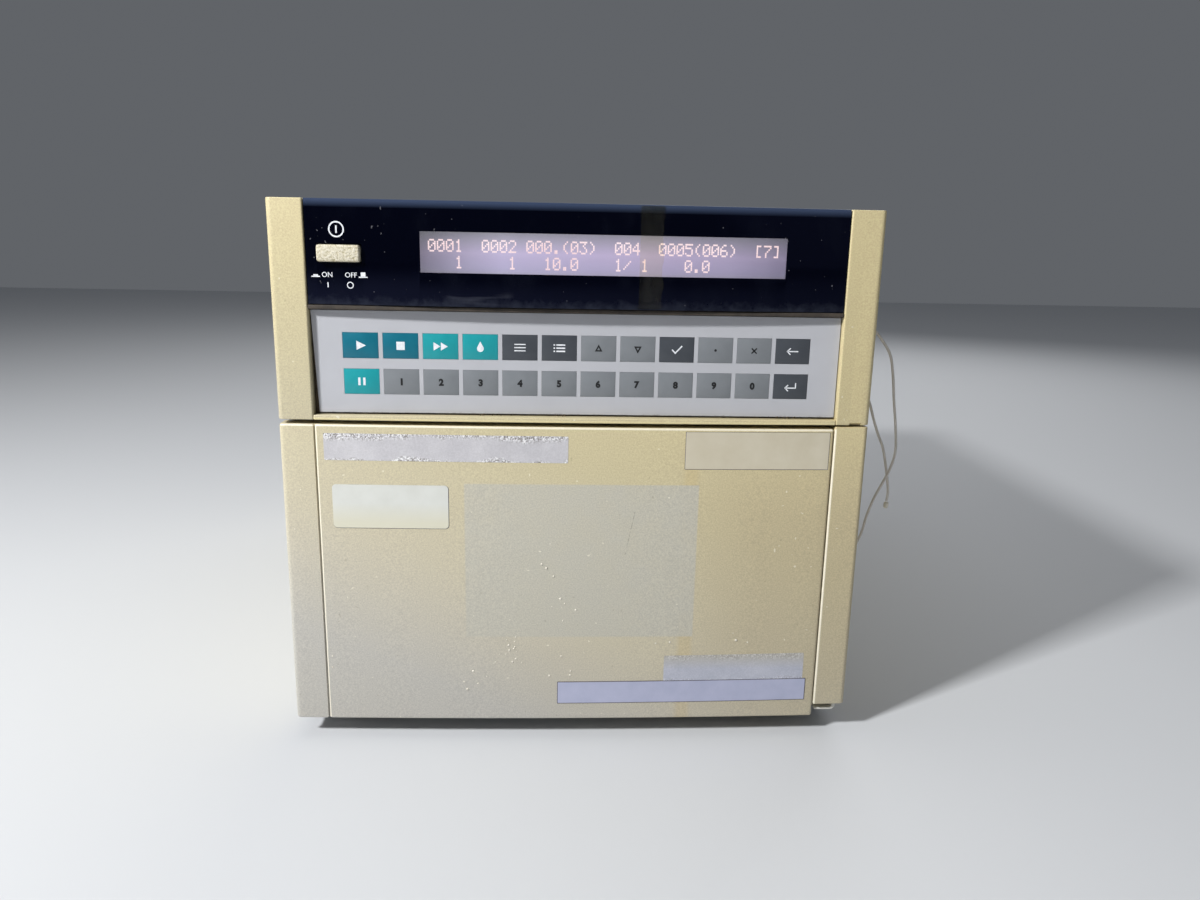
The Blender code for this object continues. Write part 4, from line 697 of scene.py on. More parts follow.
# %% Door
door_low, door_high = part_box("door")
DOOR_WALL, DOOR_EDGE, FREE_CORNER = 0.0025, 0.0011, 0.0015
GROOVE = in_mm((-0.7, 0.0), (-0.25, 1.3), (0.1, 1.3), (0.3, 0.75), (1.2, 0.0))
PIVOT = np.array([-HALF + 0.0055, -0.236])
PIN_BORE = 0.0023
HOLLOW_RISE, KNUCKLE_ROOF = 0.0053, 0.0027
KNUCKLE_RIGHT, KNUCKLE_FRONT, KNUCKLE_BACK = PIVOT[0] + 0.006, PIVOT[1] - 0.0065, -0.22
OVERRUN = 0.01
CUT_RIM, FINE_RIM = 0.0002, 0.0001
outline = front_outline(door_low.x, door_high.x, door_high.y, CORNER, FREE_CORNER, count=60,
                        groove=(groove_x, GROOVE))
hollow_floor = door_low.z + HOLLOW_RISE
hollow = slab(front_outline(door_low.x + DOOR_WALL, door_high.x - DOOR_WALL,
                            door_high.y + OVERRUN, CORNER, 0.001, inset=DOOR_WALL),
              hollow_floor, door_high.z - DOOR_WALL, CUT_RIM)
knuckle = slab(round_rect((-HALF - OVERRUN, KNUCKLE_RIGHT), (KNUCKLE_FRONT, KNUCKLE_BACK),
                          CUT_RIM), door_low.z - OVERRUN, hollow_floor - KNUCKLE_ROOF, FINE_RIM)
pin_bore = lathe([(PIN_BORE, door_low.z - OVERRUN), (PIN_BORE, door_high.z + OVERRUN)], PIVOT)
piece("door_shell", slab(outline, door_low.z, door_high.z, DOOR_EDGE), door_abs, "door",
      ["door"], cuts=[hollow, knuckle, pin_bore])

# %% [markdown]
# Ribs stiffen the back of the door, as on most large thin mouldings: two along its width and
# three upright, 1.4 mm thick and standing 6 mm into the hollow.

# %% Door ribs
RIB, RIB_DEPTH, RIB_EDGE, SUNK = 0.0014, 0.006, 0.0003, 0.0004
LOWER_BY = 0.0002
UPRIGHTS = (-0.085, -0.005, 0.075)
LEVEL_SHARES = np.array([0.35, 0.68])
rib_x = (door_low.x + 0.012, door_high.x - 0.004)
rib_z = (hollow_floor - 0.0005, door_high.z - DOOR_WALL + 0.0005)


def rib_root(x):
    """Where a rib starts: just inside the back of the door's front wall."""
    return face_y(x) + DOOR_WALL - SUNK


def both(place, half):
    """The two places that lie half to each side of one."""
    return place - half, place + half


xs = np.linspace(*rib_x, 24)
root = np.stack([xs, rib_root(xs)], 1)
ribs = [slab(np.concatenate([root, root[::-1] + (0, RIB_DEPTH)]), *both(z, RIB / 2), RIB_EDGE)
        for z in rib_z[0] + (rib_z[1] - rib_z[0]) * LEVEL_SHARES]
ribs += [brick(both(x, RIB / 2), (rib_root(x), rib_root(x) + RIB_DEPTH - LOWER_BY), rib_z,
               RIB_EDGE) for x in UPRIGHTS]
piece("door_ribs", joined(ribs), door_abs, "door")

# %% [markdown]
# The bezel round the window and the keypad is one moulding on the real object. Here it is two
# columns, a thin rail under the keypad and a wall behind, which overlap where they meet, because
# each is then a plain slab with clean rims. The right column goes on below the bezel as a
# separate cover beside the door, and a small notch sits above the door's free corner.

# %% Columns, rail and back wall
NOTCH_X, NOTCH_Y, NOTCH_RISE = (HALF - 0.012, HALF - 0.005), (-0.26, -0.2425), 0.0014
RAIL_BACK, WALL_FRONT = -0.2300, -0.2323
RAIL_THICK = 0.0028
bezel_low, bezel_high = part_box("front_bezel")
column_low, column_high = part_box("right_column_cover")
piece("column_cover", slab(front_outline(column_low.x, column_high.x, column_high.y,
                                         SMALL_CORNER, CORNER),
                           column_low.z, column_high.z, SMALL_EDGE),
      cream_abs, "case", ["right_column_cover"])
piece("bezel_column_left", slab(front_outline(-HALF, -COLUMN_X, FRONT_BACK, CORNER, SMALL_CORNER),
                                bezel_low.z, bezel_high.z, SMALL_EDGE),
      cream_abs, "case", ["front_bezel"])
notch = slab(round_rect(NOTCH_X, NOTCH_Y, 0.0004), bezel_low.z - OVERRUN,
             bezel_low.z + NOTCH_RISE, CUT_RIM)
piece("bezel_column_right", slab(front_outline(COLUMN_X, HALF, FRONT_BACK, SMALL_CORNER, CORNER),
                                 bezel_low.z, bezel_high.z, SMALL_EDGE),
      cream_abs, "case", cuts=[notch])
between = front_outline(-COLUMN_X, COLUMN_X, RAIL_BACK, SMALL_CORNER, SMALL_CORNER)
piece("bezel_rail", slab(between, bezel_low.z, bezel_low.z + RAIL_THICK, SMALL_EDGE), cream_abs,
      "case")
piece("bezel_back_wall", brick((-COLUMN_X, COLUMN_X), (WALL_FRONT, FRONT_BACK),
                               (bezel_low.z, bezel_high.z), 0.0003),
      cream_abs, "case")

# %% [markdown]
# The strip under the window is a separate moulding, the same arc, 2.4 mm high, in a matt rubbery
# finish with some dust. Its dark grey-brown colour is a painted shade: the top of this ledge lies
# in the window's shadow.

# %% Crossbar under the window
CROSSBAR_HIGH, CROSSBAR_GAP = 0.0024, 0.0003
window_low, window_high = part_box("display_window")
crossbar_top = window_low.z - CROSSBAR_GAP
# Matt elastomer, dark grey-brown as a painted shade for a ledge in shadow, with real pale dust in
# cloudy patches.
shaded_seal = mottled("dark_seal_painted_shade", ("#29241F", "#4B433A"), 0.01, 0.0012, 0.0001,
                     detail=5, Roughness=0.75)
piece("bezel_crossbar", slab(between, crossbar_top - CROSSBAR_HIGH, crossbar_top, 0.0005),
      shaded_seal, "case")

# %% [markdown]
# ## The display window
#
# The window is one bent sheet of black acrylic that bulges 5 mm, more than the mouldings, so it
# throws a soft arc of shadow on the keypad. It is printed black from behind except over the
# display, where it is clear. Here that is a black pane with an opening and a clear insert that
# follows the same curve. The black is not empty: wiped streaks, grime along the bottom, a paler
# band along the top edge that is a painted reflection, one greasy smear and a few specks of dust.

# %% Black acrylic
GRIME_REACH = 0.012
SMEAR_X, SMEAR_Z, SMEAR_SOFT = (-0.072, -0.038), (0.2655, 0.2705), 0.004
# Cast acrylic, polished, printed black behind: a deep gloss with wiped streaks and dust.
black_acrylic, tree, surface, place = start("polished_black_acrylic", IOR=1.49,
                                            Specular_IOR_Level=0.18, Specular_Tint="#A9B4FF")
height = add(tree, "SeparateXYZ", place).node.outputs["Z"]
streak = add(tree, "TexNoise", add(tree, "Mapping", place, Scale=(1, 1, 0.35)), 1 / 0.018, 5, 0.65)
wipe = add(tree, "Math", streak, add(tree, "TexNoise", place, 1 / 0.05, 4, 0.6),
           operation="MULTIPLY")
grime = add(tree, "Math", add(tree, "MapRange", height, window_low.z + GRIME_REACH, window_low.z),
            add(tree, "TexNoise", place, 1 / 0.006, 6, 0.7), operation="MULTIPLY")
greasy = add(tree, "TexNoise", add(tree, "Mapping", place, Scale=(0.12, 1, 1)), 1 / 0.003, 1, 0.6)
greasy = add(tree, "ValToRGB", greasy, stops=[(0.45, "#000000"), (0.65, "#6A6A6A")])
feed(surface["Base Color"], painted(tree, "#02030B", [
    (add(tree, "ValToRGB", wipe, stops=[(0.26, "#000000"), (0.50, "#3C3C3C")]), "#434856"),
    (add(tree, "ValToRGB", grime, stops=[(0.28, "#000000"), (0.56, "#505050")]), "#788090"),
    (add(tree, "ValToRGB", add(tree, "TexNoise", place, 1 / 0.0016, 0, 0.6),
         stops=[(0.84, "#000000"), (0.87, "#959595")]), "#9A9AA0"),
    # Paler band along the top edge: a painted reflection of the light on the upturned edge.
    (add(tree, "MapRange", height, window_high.z - 0.0045, window_high.z - 0.0010), "#38435A"),
    (add(tree, "Math", rectangle(tree, place, SMEAR_X, SMEAR_Z, SMEAR_SOFT), greasy,
         operation="MULTIPLY"), "#6A6E7A")]))
feed(surface["Roughness"], add(tree, "MapRange", wipe, 0.15, 0.5, 0.05, 0.24))

# %% Window pane
WINDOW_BULGE = 0.005
PANE = 0.0025
SCREEN_X, SCREEN_Z = (-0.0873, 0.1143), (0.2818, 0.3037)
BUTTON_GAP, INSERT_GAP = 0.0007, 0.00005
THROUGH = (-0.26, -0.24)
button_low, button_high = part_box("power_button")


def window_y(x):
    """Front of the window: it falls back from the middle by x squared."""
    return window_low.y + WINDOW_BULGE * (np.asarray(x) / COLUMN_X) ** 2


def bent_strip(x0, x1, count=60):
    """Outline from above of the bent sheet between two places."""
    xs = np.linspace(x0, x1, count)
    front = np.stack([xs, window_y(xs)], 1)
    return np.concatenate([front, front[::-1] + (0, PANE)])


holes = [slab(round_rect((button_low.x - BUTTON_GAP, button_high.x + BUTTON_GAP),
                         (button_low.z - BUTTON_GAP, button_high.z + BUTTON_GAP), 0.0008),
              *THROUGH, FINE_RIM, "y"),
         slab(round_rect(SCREEN_X, SCREEN_Z, 0.0004), *THROUGH, FINE_RIM, "y")]
piece("window_pane", slab(bent_strip(window_low.x, window_high.x), window_low.z, window_high.z,
                          0.0004),
      black_acrylic, "case", ["display_window"], cuts=holes)

# Clear cast acrylic over the display, with the same polish.
clear_acrylic = start("clear_cast_acrylic", Roughness=0.04, IOR=1.49, Base_Color="#F4F3FA",
                      Transmission_Weight=1.0)[0]
piece("window_insert", slab(bent_strip(SCREEN_X[0] + INSERT_GAP, SCREEN_X[1] - INSERT_GAP, 30),
                            SCREEN_Z[0] + INSERT_GAP, SCREEN_Z[1] - INSERT_GAP, FINE_RIM),
      clear_acrylic, "case")

# %% [markdown]
# A strip of clear tape was once stuck over the window, across the display. What is left is a
# yellowed film about 14 mm wide, thin enough to see through, and torn a little along its sides.

# %% Yellowed tape film on the window
TAPE_X, TAPE_END = (0.0325, 0.0455), 0.0006
TAPE_LIFT, TAPE_THICK = 0.00012, 0.00006
# Aged acrylic adhesive, wetted to the window so that no air gap is left to reflect. It tints
# the light that passes, and a hundredth of it scatters back.
old_adhesive, tree, surface, place = start("yellowed_adhesive_film", Roughness=0.1, IOR=1.05,
                                           Base_Color="#FCF9EA")
torn = add(tree, "TexNoise", add(tree, "Mapping", place, Scale=(1, 1, 0.4)), 1 / 0.004, 4, 0.6)
feed(surface["Transmission Weight"], add(tree, "MapRange", torn, 0.3, 0.7, 0.999, 0.990))
tape_x = np.linspace(*TAPE_X, 8)[None]
tape_z = np.linspace(window_low.z + TAPE_END, window_high.z - TAPE_END, 20)[:, None]
ragged = TAPE_END * np.sin(900 * tape_z + 3 * np.sin(1700 * tape_z)) * (tape_x > 0.044)
piece("window_tape_film",
      grid(along(tape_x + ragged, tape_z, window_y(tape_x + ragged) - TAPE_LIFT, "y")),
      old_adhesive, "case", wall=TAPE_THICK)

# %% [markdown]
# Behind the window's top edge the bezel closes with a flat lid that follows the window's curve.

# %% Bezel lid
LID_GAP, LID_BOTTOM = 0.0002, 0.003
lid_x = np.linspace(-COLUMN_X, COLUMN_X, 40)
lid = np.concatenate([np.stack([lid_x, window_y(lid_x) + PANE + LID_GAP], 1),
                      [(COLUMN_X, FRONT_BACK), (-COLUMN_X, FRONT_BACK)]])
piece("bezel_lid", slab(lid, bezel_high.z - LID_BOTTOM, bezel_high.z - LID_GAP, 0.0003),
      cream_abs, "case")

# %% [markdown]
# ## The lit display
#
# A character display of two lines of 40 places, each 5 by 7 dots, lit from behind in pale
# violet. The face glows by itself, brightest along its middle, and the dots are pinkish white.
# Only numbers, brackets and a slash are shown, in the places where the real lines have
# characters.

# %% Display face
lcd_low, lcd_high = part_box("lcd_module")
LCD_FRONT = lcd_low.y + 0.0010
FACE_MARGIN, FACE_THICK = 0.0035, 0.001
# Backlit film: it gives its own light, uneven over its width.
backlight, tree, surface, place = start("violet_backlight_film", Roughness=0.4,
                                        Base_Color="#2A2A33", Emission_Strength=1.0)
split = add(tree, "SeparateXYZ", place).node.outputs
glow = add(tree, "ValToRGB", add(tree, "MapRange", split["Z"], *SCREEN_Z),
           stops=[(0.0, "#AEABBE"), (0.15, "#B9B3CF"), (0.5, "#CFC4E0"), (0.85, "#A6A3B1"),
                  (1.0, "#8C8D92")])
dimmer = add(tree, "ValToRGB", add(tree, "MapRange", split["X"], *SCREEN_X),
             stops=[(0.0, "#A8A8A4"), (0.10, "#DCDCDA"), (0.22, "#FFFFFF"), (0.6, "#F2EEF0"),
                    (0.85, "#DAD7D9"), (1.0, "#ABA9AD")])
streaks = add(tree, "TexNoise", add(tree, "Mapping", place, Scale=(1, 1, 0.05)), 1 / 0.012, 2, 0.6)
streaks = add(tree, "ValToRGB", streaks, stops=[(0.3, "#000000"), (0.8, "#3C3C3C")])
feed(surface["Emission Color"],
     painted(tree, glow, [(1.0, dimmer, "MULTIPLY"), (streaks, "#E4DDEE")]))
piece("display_face", brick((SCREEN_X[0] - FACE_MARGIN, SCREEN_X[1] + FACE_MARGIN),
                            (LCD_FRONT, LCD_FRONT + FACE_THICK),
                            (SCREEN_Z[0] - FACE_MARGIN, SCREEN_Z[1] + FACE_MARGIN), CUT_RIM),
      backlight, "case", ["lcd_module"])

# %% Display frame and board
BOARD, FRAME_IN = 0.002, 0.005
# Black painted steel: dark, with a soft sheen.
black_steel = mottled("black_painted_steel", ("#101012", "#1B1B1E"), 0.003, 0.0006, 0.00003,
                      Roughness=0.45)
piece("display_frame", brick((lcd_low.x + FRAME_IN, lcd_high.x - FRAME_IN),
                             (LCD_FRONT + FACE_THICK, lcd_high.y - BOARD),
                             (lcd_low.z + FRAME_IN, lcd_high.z - FRAME_IN), SMALL_EDGE),
      black_steel, "case")
# Glass-fibre circuit board with green solder mask: glossy, with faint tracks 11 mm apart.
green_board, tree, surface, place = start("solder_masked_board", Roughness=0.35)
flat = add(tree, "Mapping", place, Rotation=(math.pi / 2, 0, 0))
feed(surface["Base Color"], add(tree, "TexBrick", flat, "#14562B", "#1A6636", "#0D3E1E", 90.0,
                                0.03))
piece("display_board", brick((lcd_low.x, lcd_high.x), (lcd_high.y - BOARD, lcd_high.y),
                             (lcd_low.z, lcd_high.z), 0.0003), green_board, "case")

# %% [markdown]
# Each character is seven rows of five dots. A row is written as one number whose five bits are
# its dots, so a dot is lit where its bit is 1. numpy picks out all the lit dots at once, and each
# becomes one small square just in front of the face.

# %% Display characters
GLYPHS = {
    "0": (14, 17, 19, 21, 25, 17, 14), "1": (4, 12, 4, 4, 4, 4, 14),
    "2": (14, 17, 1, 2, 4, 8, 31), "3": (31, 2, 4, 2, 1, 17, 14),
    "4": (2, 6, 10, 18, 31, 2, 2), "5": (31, 16, 30, 1, 1, 17, 14),
    "6": (6, 8, 16, 30, 17, 17, 14), "7": (31, 1, 2, 4, 8, 8, 8),
    ".": (0, 0, 0, 0, 0, 12, 12), "/": (0, 1, 2, 4, 8, 16, 0),
    "(": (2, 4, 8, 8, 8, 4, 2), ")": (8, 4, 2, 2, 2, 4, 8),
    "[": (14, 8, 8, 8, 8, 8, 14), "]": (14, 2, 2, 2, 2, 2, 14), " ": (0,) * 7,
}
LINES = ("0001  0002 000.(03)  004  0005(006)  [7]", "   1     1   10.0    1/ 1    0.0        ")
CHARACTER_PITCH, LINE_PITCH = 0.00489, 0.0083
TEXT_LEFT, TEXT_DOWN = 0.0036, 0.0043
DOT, DOT_SHARE = (0.00086, 0.00092), 0.46
DOT_LIFT, DOT_THICK = 0.0001, 0.00008
rows = np.array([[GLYPHS[c] for c in line] for line in LINES])
bits = (rows[..., None] >> np.arange(4, -1, -1)) & 1
line_at, place_at, row_at, dot_at = np.nonzero(bits)
dot_x = SCREEN_X[0] + TEXT_LEFT + place_at * CHARACTER_PITCH + (dot_at + 0.5) * DOT[0]
dot_z = SCREEN_Z[1] - TEXT_DOWN - line_at * LINE_PITCH - (row_at + 0.5) * DOT[1]
corners = DOT_SHARE * SQUARE * DOT
dots = along(dot_x[:, None] + corners[:, 0], dot_z[:, None] + corners[:, 1],
             LCD_FRONT - DOT_LIFT, "y").reshape(-1, 3)
# The lit liquid-crystal dots let more light through than the film around them.
lit_dots, tree, surface, place = start("lit_crystal_dots", Roughness=0.4, Base_Color="#2A2A33",
                                       Emission_Strength=1.25)
feed(surface["Emission Color"], add(tree, "ValToRGB", add(tree, "TexNoise", place, 1 / 0.03, 1),
                                    stops=[(0.3, "#F5D8D2"), (0.7, "#FEECE8")]))
piece("display_dots", (dots, np.arange(len(dots)).reshape(-1, 4).tolist()), lit_dots, "case",
      wall=DOT_THICK)

# %% [markdown]
# ## Power button and the white print around it
#
# The button is a cream moulding whose face has worn rough and pale. The marks around it are
# white print on the window: the power symbol, ON and OFF with I and O, and two small pictures of
# the button in and out. Print follows the window's curve, so each mark is made flat and then
# every point takes the window's y at its own x.

# %% Power button
CRAZING = 0.0011
# ABS with a crazed surface: a cream skin broken by fine brown cracks.
worn_abs, tree, surface, place = start("crazed_cream_abs", Roughness=0.6)
cracks = add(tree, "TexVoronoi", place, 1 / CRAZING, feature="DISTANCE_TO_EDGE")
lumps = add(tree, "TexNoise", place, 1 / CRAZING, 3, 0.7)
skin = add(tree, "ValToRGB", lumps, stops=[(0.30, "#A3966F"), (0.45, "#D3CAAF"),
                                           (0.6, "#EAE3D0")])
cracks = add(tree, "ValToRGB", cracks, stops=[(0.0, "#707070"), (0.06, "#000000")])
feed(surface["Base Color"], painted(tree, skin, [(cracks, "#8A7A50")]))
feed(surface["Normal"], add(tree, "Bump", Height=lumps, Distance=0.0008))
piece("power_button_cap", slab(round_rect((button_low.x, button_high.x),
                                          (button_low.z, button_high.z), 0.0014),
                               button_low.y, button_high.y, 0.0011, "y", 5),
      worn_abs, "button", ["power_button"])

# %% Letters
SIZE_PER_CAP = 1.42


def text_shape(words, height, weight):
    """Outline letters as a flat mesh shape in (x, z), centred, with caps about height high."""
    curve = bpy.data.curves.new("text", "FONT")
    curve.body = words
    curve.size = height * SIZE_PER_CAP
    curve.resolution_u = 4
    curve.offset = height * weight
    made = bpy.data.objects.new("text", curve)
    scene.collection.objects.link(made)
    bpy.context.view_layer.update()
    graph = bpy.context.evaluated_depsgraph_get()
    mesh = bpy.data.meshes.new_from_object(made.evaluated_get(graph))
    points = np.zeros(len(mesh.vertices) * 3)
    mesh.vertices.foreach_get("co", points)
    points = points.reshape(-1, 3)
    faces = [list(face.vertices) for face in mesh.polygons]
    bpy.data.objects.remove(made, do_unlink=True)
    points = points - (points.max(0) + points.min(0)) / 2
    return along(points[:, 0], points[:, 1], 0, "y"), faces


print("the word ON has", len(text_shape("ON", MM, 0)[0]), "points")

# %% Flat strokes and areas
INK = 0.00005


def band(line, width, loop=False):
    """A flat stroke: each point of a line in mm is moved by half the width to both sides."""
    line = np.asarray(line, float) * MM
    ahead = np.roll(line, -1, 0) - line
    behind = line - np.roll(line, 1, 0)
    if not loop:
        ahead[-1], behind[0] = behind[-1], ahead[0]
    run = ahead / np.linalg.norm(ahead, axis=1, keepdims=True)
    run = run + behind / np.linalg.norm(behind, axis=1, keepdims=True)
    side = np.stack([-run[:, 1], run[:, 0]], 1)
    side = side * 2 / np.sum(side ** 2, 1, keepdims=True) * width * MM / 2
    strip = np.stack([line - side, line + side])
    if loop:
        strip = np.concatenate([strip, strip[:, :1]], 1)
    return grid(along(strip[..., 0], strip[..., 1], 0, "y"))


def area(*outline):
    """A flat filled outline, from its points in mm."""
    return along(*in_mm(*outline).T, 0, "y"), [list(range(len(outline)))]


def shifted(shape, x, z):
    """A flat shape moved to its place on the front."""
    return shape[0] + (x, 0, z), shape[1]


print("a ring mark has", len(band(circle(1), 0.1, loop=True)[1]), "faces")

# %% Printed marks on the window
# Screen print: an opaque white ink film, matt beside the acrylic.
white_ink = mottled("white_screen_print", ("#D6D9DE", "#F2F4F7"), 0.002, 0.0008, 0.00001,
                    Roughness=0.5)
WORD_CAPS, WORD_WEIGHT = 2.7 * MM, 0.005
button_in, button_out = (joined([area((-2.4, -0.3), (2.4, -0.3), (2.4, 0.3), (-2.4, 0.3)),
                                 area((-1.3, 0.4), (1.3, 0.4), (1.3, top), (-1.3, top))])
                         for top in (1.1, 2.6))
MARKS = ((band(circle(3.9), 0.75, loop=True), -0.1323, 0.3039),
         (band([(0, -2), (0, 2)], 0.8), -0.1323, 0.3039),
         (text_shape("ON", WORD_CAPS, WORD_WEIGHT), -0.1383, 0.2797),
         (text_shape("OFF", WORD_CAPS, WORD_WEIGHT), -0.1252, 0.2797),
         (band([(0, -1.4), (0, 1.4)], 0.55), -0.1380, 0.2742),
         (band(circle(1.6), 0.5, loop=True), -0.1258, 0.2742),
         (button_in, -0.1446, 0.2786), (button_out, -0.1186, 0.2786))
points, faces = joined([shifted(*mark) for mark in MARKS])
points[:, 1] = window_y(points[:, 0]) - INK
piece("window_print", (points, faces), white_ink, "case", wall=INK / 2)

# %% [markdown]
# ## Keypad
#
# A pale grey film lies 3 mm behind the mouldings' edge, with a coloured field for each key. On
# the real one the film is one piece that gives way under a finger. Here each key is a pad that
# moves in by 0.4 mm, in an opening of the film that is only 0.1 mm wider. The film is a grid of
# points whose lines run along the openings' edges, with the openings' cells left out.

# %% Openings of the keypad film
keypad_low, keypad_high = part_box("keypad_panel")
FILM_GAP, FILM_LEAN, PAD_GAP = 0.0006, 0.0024, 0.0001
KEY_HALF = (0.0099, 0.0072)
key_names = sorted(n for n in frame["nodes"] if n.startswith("key_"))


def centre_of(name):
    """The middle of a CAD node's box."""
    return np.mean([list(corner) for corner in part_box(name)], 0)


def with_openings(low, high, middles, half):
    """Grid lines across a sheet: its two sides and both edges of each opening."""
    middles = np.unique(np.round(middles, 5))
    lines = np.sort(np.concatenate([[low, high], middles - half, middles + half]))
    return lines, np.arange(len(lines) - 1) % 2 == 1


key_x, _, key_z = np.transpose([centre_of(name) for name in key_names])
xs, open_x = with_openings(keypad_low.x, keypad_high.x, key_x, KEY_HALF[0] + PAD_GAP)
zs, open_z = with_openings(keypad_low.z + FILM_GAP, keypad_high.z, key_z, KEY_HALF[1] + PAD_GAP)
mesh_x, mesh_z = np.meshgrid(xs, zs)
mesh_x[:, 0] += FILM_LEAN * (zs[-1] - zs) / (zs[-1] - zs[0])
print("openings in the film:", open_x.sum() * open_z.sum())

# %% Keypad film and board
FILM, BOARD_GAP, BOARD_THICK = 0.0015, 0.0003, 0.0010
DUST_REACH = 0.004
# Polyester film, printed on the back: even and satin, a little mottled, dusty at the bottom.
grey_film, tree, surface, place = start("printed_polyester_film", Roughness=0.38)
base = add(tree, "ValToRGB", add(tree, "TexNoise", place, 1 / 0.03, 3, 0.6),
           stops=[(0.3, "#B4B5BA"), (0.7, "#B9BABF")])
low = add(tree, "MapRange", add(tree, "SeparateXYZ", place).node.outputs["Z"],
          keypad_low.z + DUST_REACH, keypad_low.z)
grime = add(tree, "Math", low, add(tree, "TexNoise", place, 1 / 0.003, 5, 0.8),
            operation="MULTIPLY")
grime = add(tree, "ValToRGB", grime, stops=[(0.38, "#000000"), (0.5, "#A0A0A0")])
feed(surface["Base Color"], painted(tree, base, [(grime, "#5B4E3C")]))
piece("keypad_film", grid(along(mesh_x, mesh_z, keypad_low.y, "y"),
                          ~(open_z[:, None] & open_x[None, :])),
      grey_film, "case", ["keypad_panel"], wall=FILM)
# The board that the film is stuck to: brown hardboard, dusty where it shows at the edges.
brown_board = mottled("dusty_brown_hardboard", ("#3A2F22", "#5C4E3C"), 0.003, 0.001, 0.0001,
                      detail=5, Roughness=0.85)
board_front = keypad_low.y + FILM + BOARD_GAP
piece("keypad_board", brick((keypad_low.x, keypad_high.x),
                            (board_front, board_front + BOARD_THICK),
                            (keypad_low.z, keypad_high.z), CUT_RIM),
      brown_board, "case")

# %% [markdown]
# The pads are slabs 19.8 by 14.4 mm with a small round at the rim. Numbers keep their numbers.
# The other keys carry plain signs, because words stay off this part.

# %% Key pads
# Printed polyester again, in four colours: even, satin, slightly mottled.
films = {slot: mottled("printed_film_" + slot[4:], shades, 0.009, 0.0009, 0.000006, detail=4,
                       Roughness=0.36)
         for slot, shades in (("key_teal", ("#00657A", "#036D82")),
                              ("key_light_teal", ("#15939A", "#1B9AA1")),
                              ("key_dark_grey", ("#41454B", "#474B51")),
                              ("key_grey", ("#7B7F83", "#818589")))}
slots = {entry["node"]: entry["material_slot"] for entry in frame["record"]["subparts"]}
PAD_DEPTH, PAD_CORNER, PAD_EDGE = 0.0022, 0.0005, 0.00015
for name, x, z in zip(key_names, key_x, key_z):
    piece("pad_" + name[4:],
          slab(round_rect(both(x, KEY_HALF[0]), both(z, KEY_HALF[1]), PAD_CORNER),
               keypad_low.y, keypad_low.y + PAD_DEPTH, PAD_EDGE, "y", 2),
          films[slots[name]], name, [name])

# %% Signs and numbers on the keys
# Black ink on the grey keys, and the same white ink as on the window on the coloured ones.
black_ink = mottled("black_screen_print", ("#060607", "#121214"), 0.002, 0.0008, 0.00001,
                    Roughness=0.5)
DIGIT_CAPS, DIGIT_WEIGHT = 3.6 * MM, 0.085
TRIANGLE = np.array([(-1.5, -1.2), (1.5, -1.2), (0, 1.6)])
drop_turn = np.radians(np.linspace(-215, 35, 24))
drop = np.stack([1.9 * np.cos(drop_turn), -0.9 + 1.9 * np.sin(drop_turn)], 1)
SIGNS = {
    "start": [area((-2.2, -2.6), (3.0, 0), (-2.2, 2.6))],
    "stop": [area(*2.3 * SQUARE)],
    "quick": [area((-3.9, -2.3), (0, 0), (-3.9, 2.3)), area((0.2, -2.3), (4.1, 0), (0.2, 2.3))],
    "wash": [area((0, 3.2), *drop)],
    "utility": [band([(-3.2, z), (3.2, z)], 0.6) for z in (-1.8, 0, 1.8)],
    "program": [band([(x, z), (x + w, z)], 0.8)
                for z in (-1.8, 0, 1.8) for x, w in ((-3.3, 0.9), (-1.7, 5.0))],
    "up": [band(TRIANGLE, 0.8, loop=True)],
    "down": [band(TRIANGLE * (1, -1), 0.8, loop=True)],
    "confidence": [band([(-2.7, 0.1), (-0.8, -1.9), (3.0, 2.2)], 0.75)],
    "point": [area(*circle(0.75, 16))],
    "clear": [band([(-1.5, s * 1.5), (1.5, -s * 1.5)], 0.75) for s in (1, -1)],
    "escape": [band([(3.2, 0), (-3.0, 0)], 0.65),
               band([(-1.2, 1.9), (-3.1, 0), (-1.2, -1.9)], 0.65)],
    "hold": [band([(x, -2.2), (x, 2.2)], 1.3) for x in (-1.4, 1.4)],
    "enter": [band([(3.0, 2.2), (3.0, -0.8), (-3.0, -0.8)], 0.65),
              band([(-1.3, 1.0), (-3.1, -0.8), (-1.3, -2.6)], 0.65)],
}
for name, x, z in zip(key_names, key_x, key_z):
    label = name[4:]
    shape = (text_shape(label, DIGIT_CAPS, DIGIT_WEIGHT) if label.isdigit()
             else joined(SIGNS[label]))
    points, faces = shifted(shape, x, z)
    points[:, 1] = keypad_low.y - INK
    piece("sign_" + label, (points, faces), black_ink if slots[name] == "key_grey" else white_ink,
          name, wall=INK / 2)

# %% [markdown]
# ## Labels on the door
#
# Old labels and the traces of others: a strip of torn paper fibres at the top, a white sticker,
# a pale plate at the upper right, another torn strip and a long plate at the bottom. All are left
# bare. Each is a thin sheet that follows the door's arc, and its corners are round because the
# rows near its top and bottom are shorter: half width = w - (r - sqrt(r^2 - d^2)).

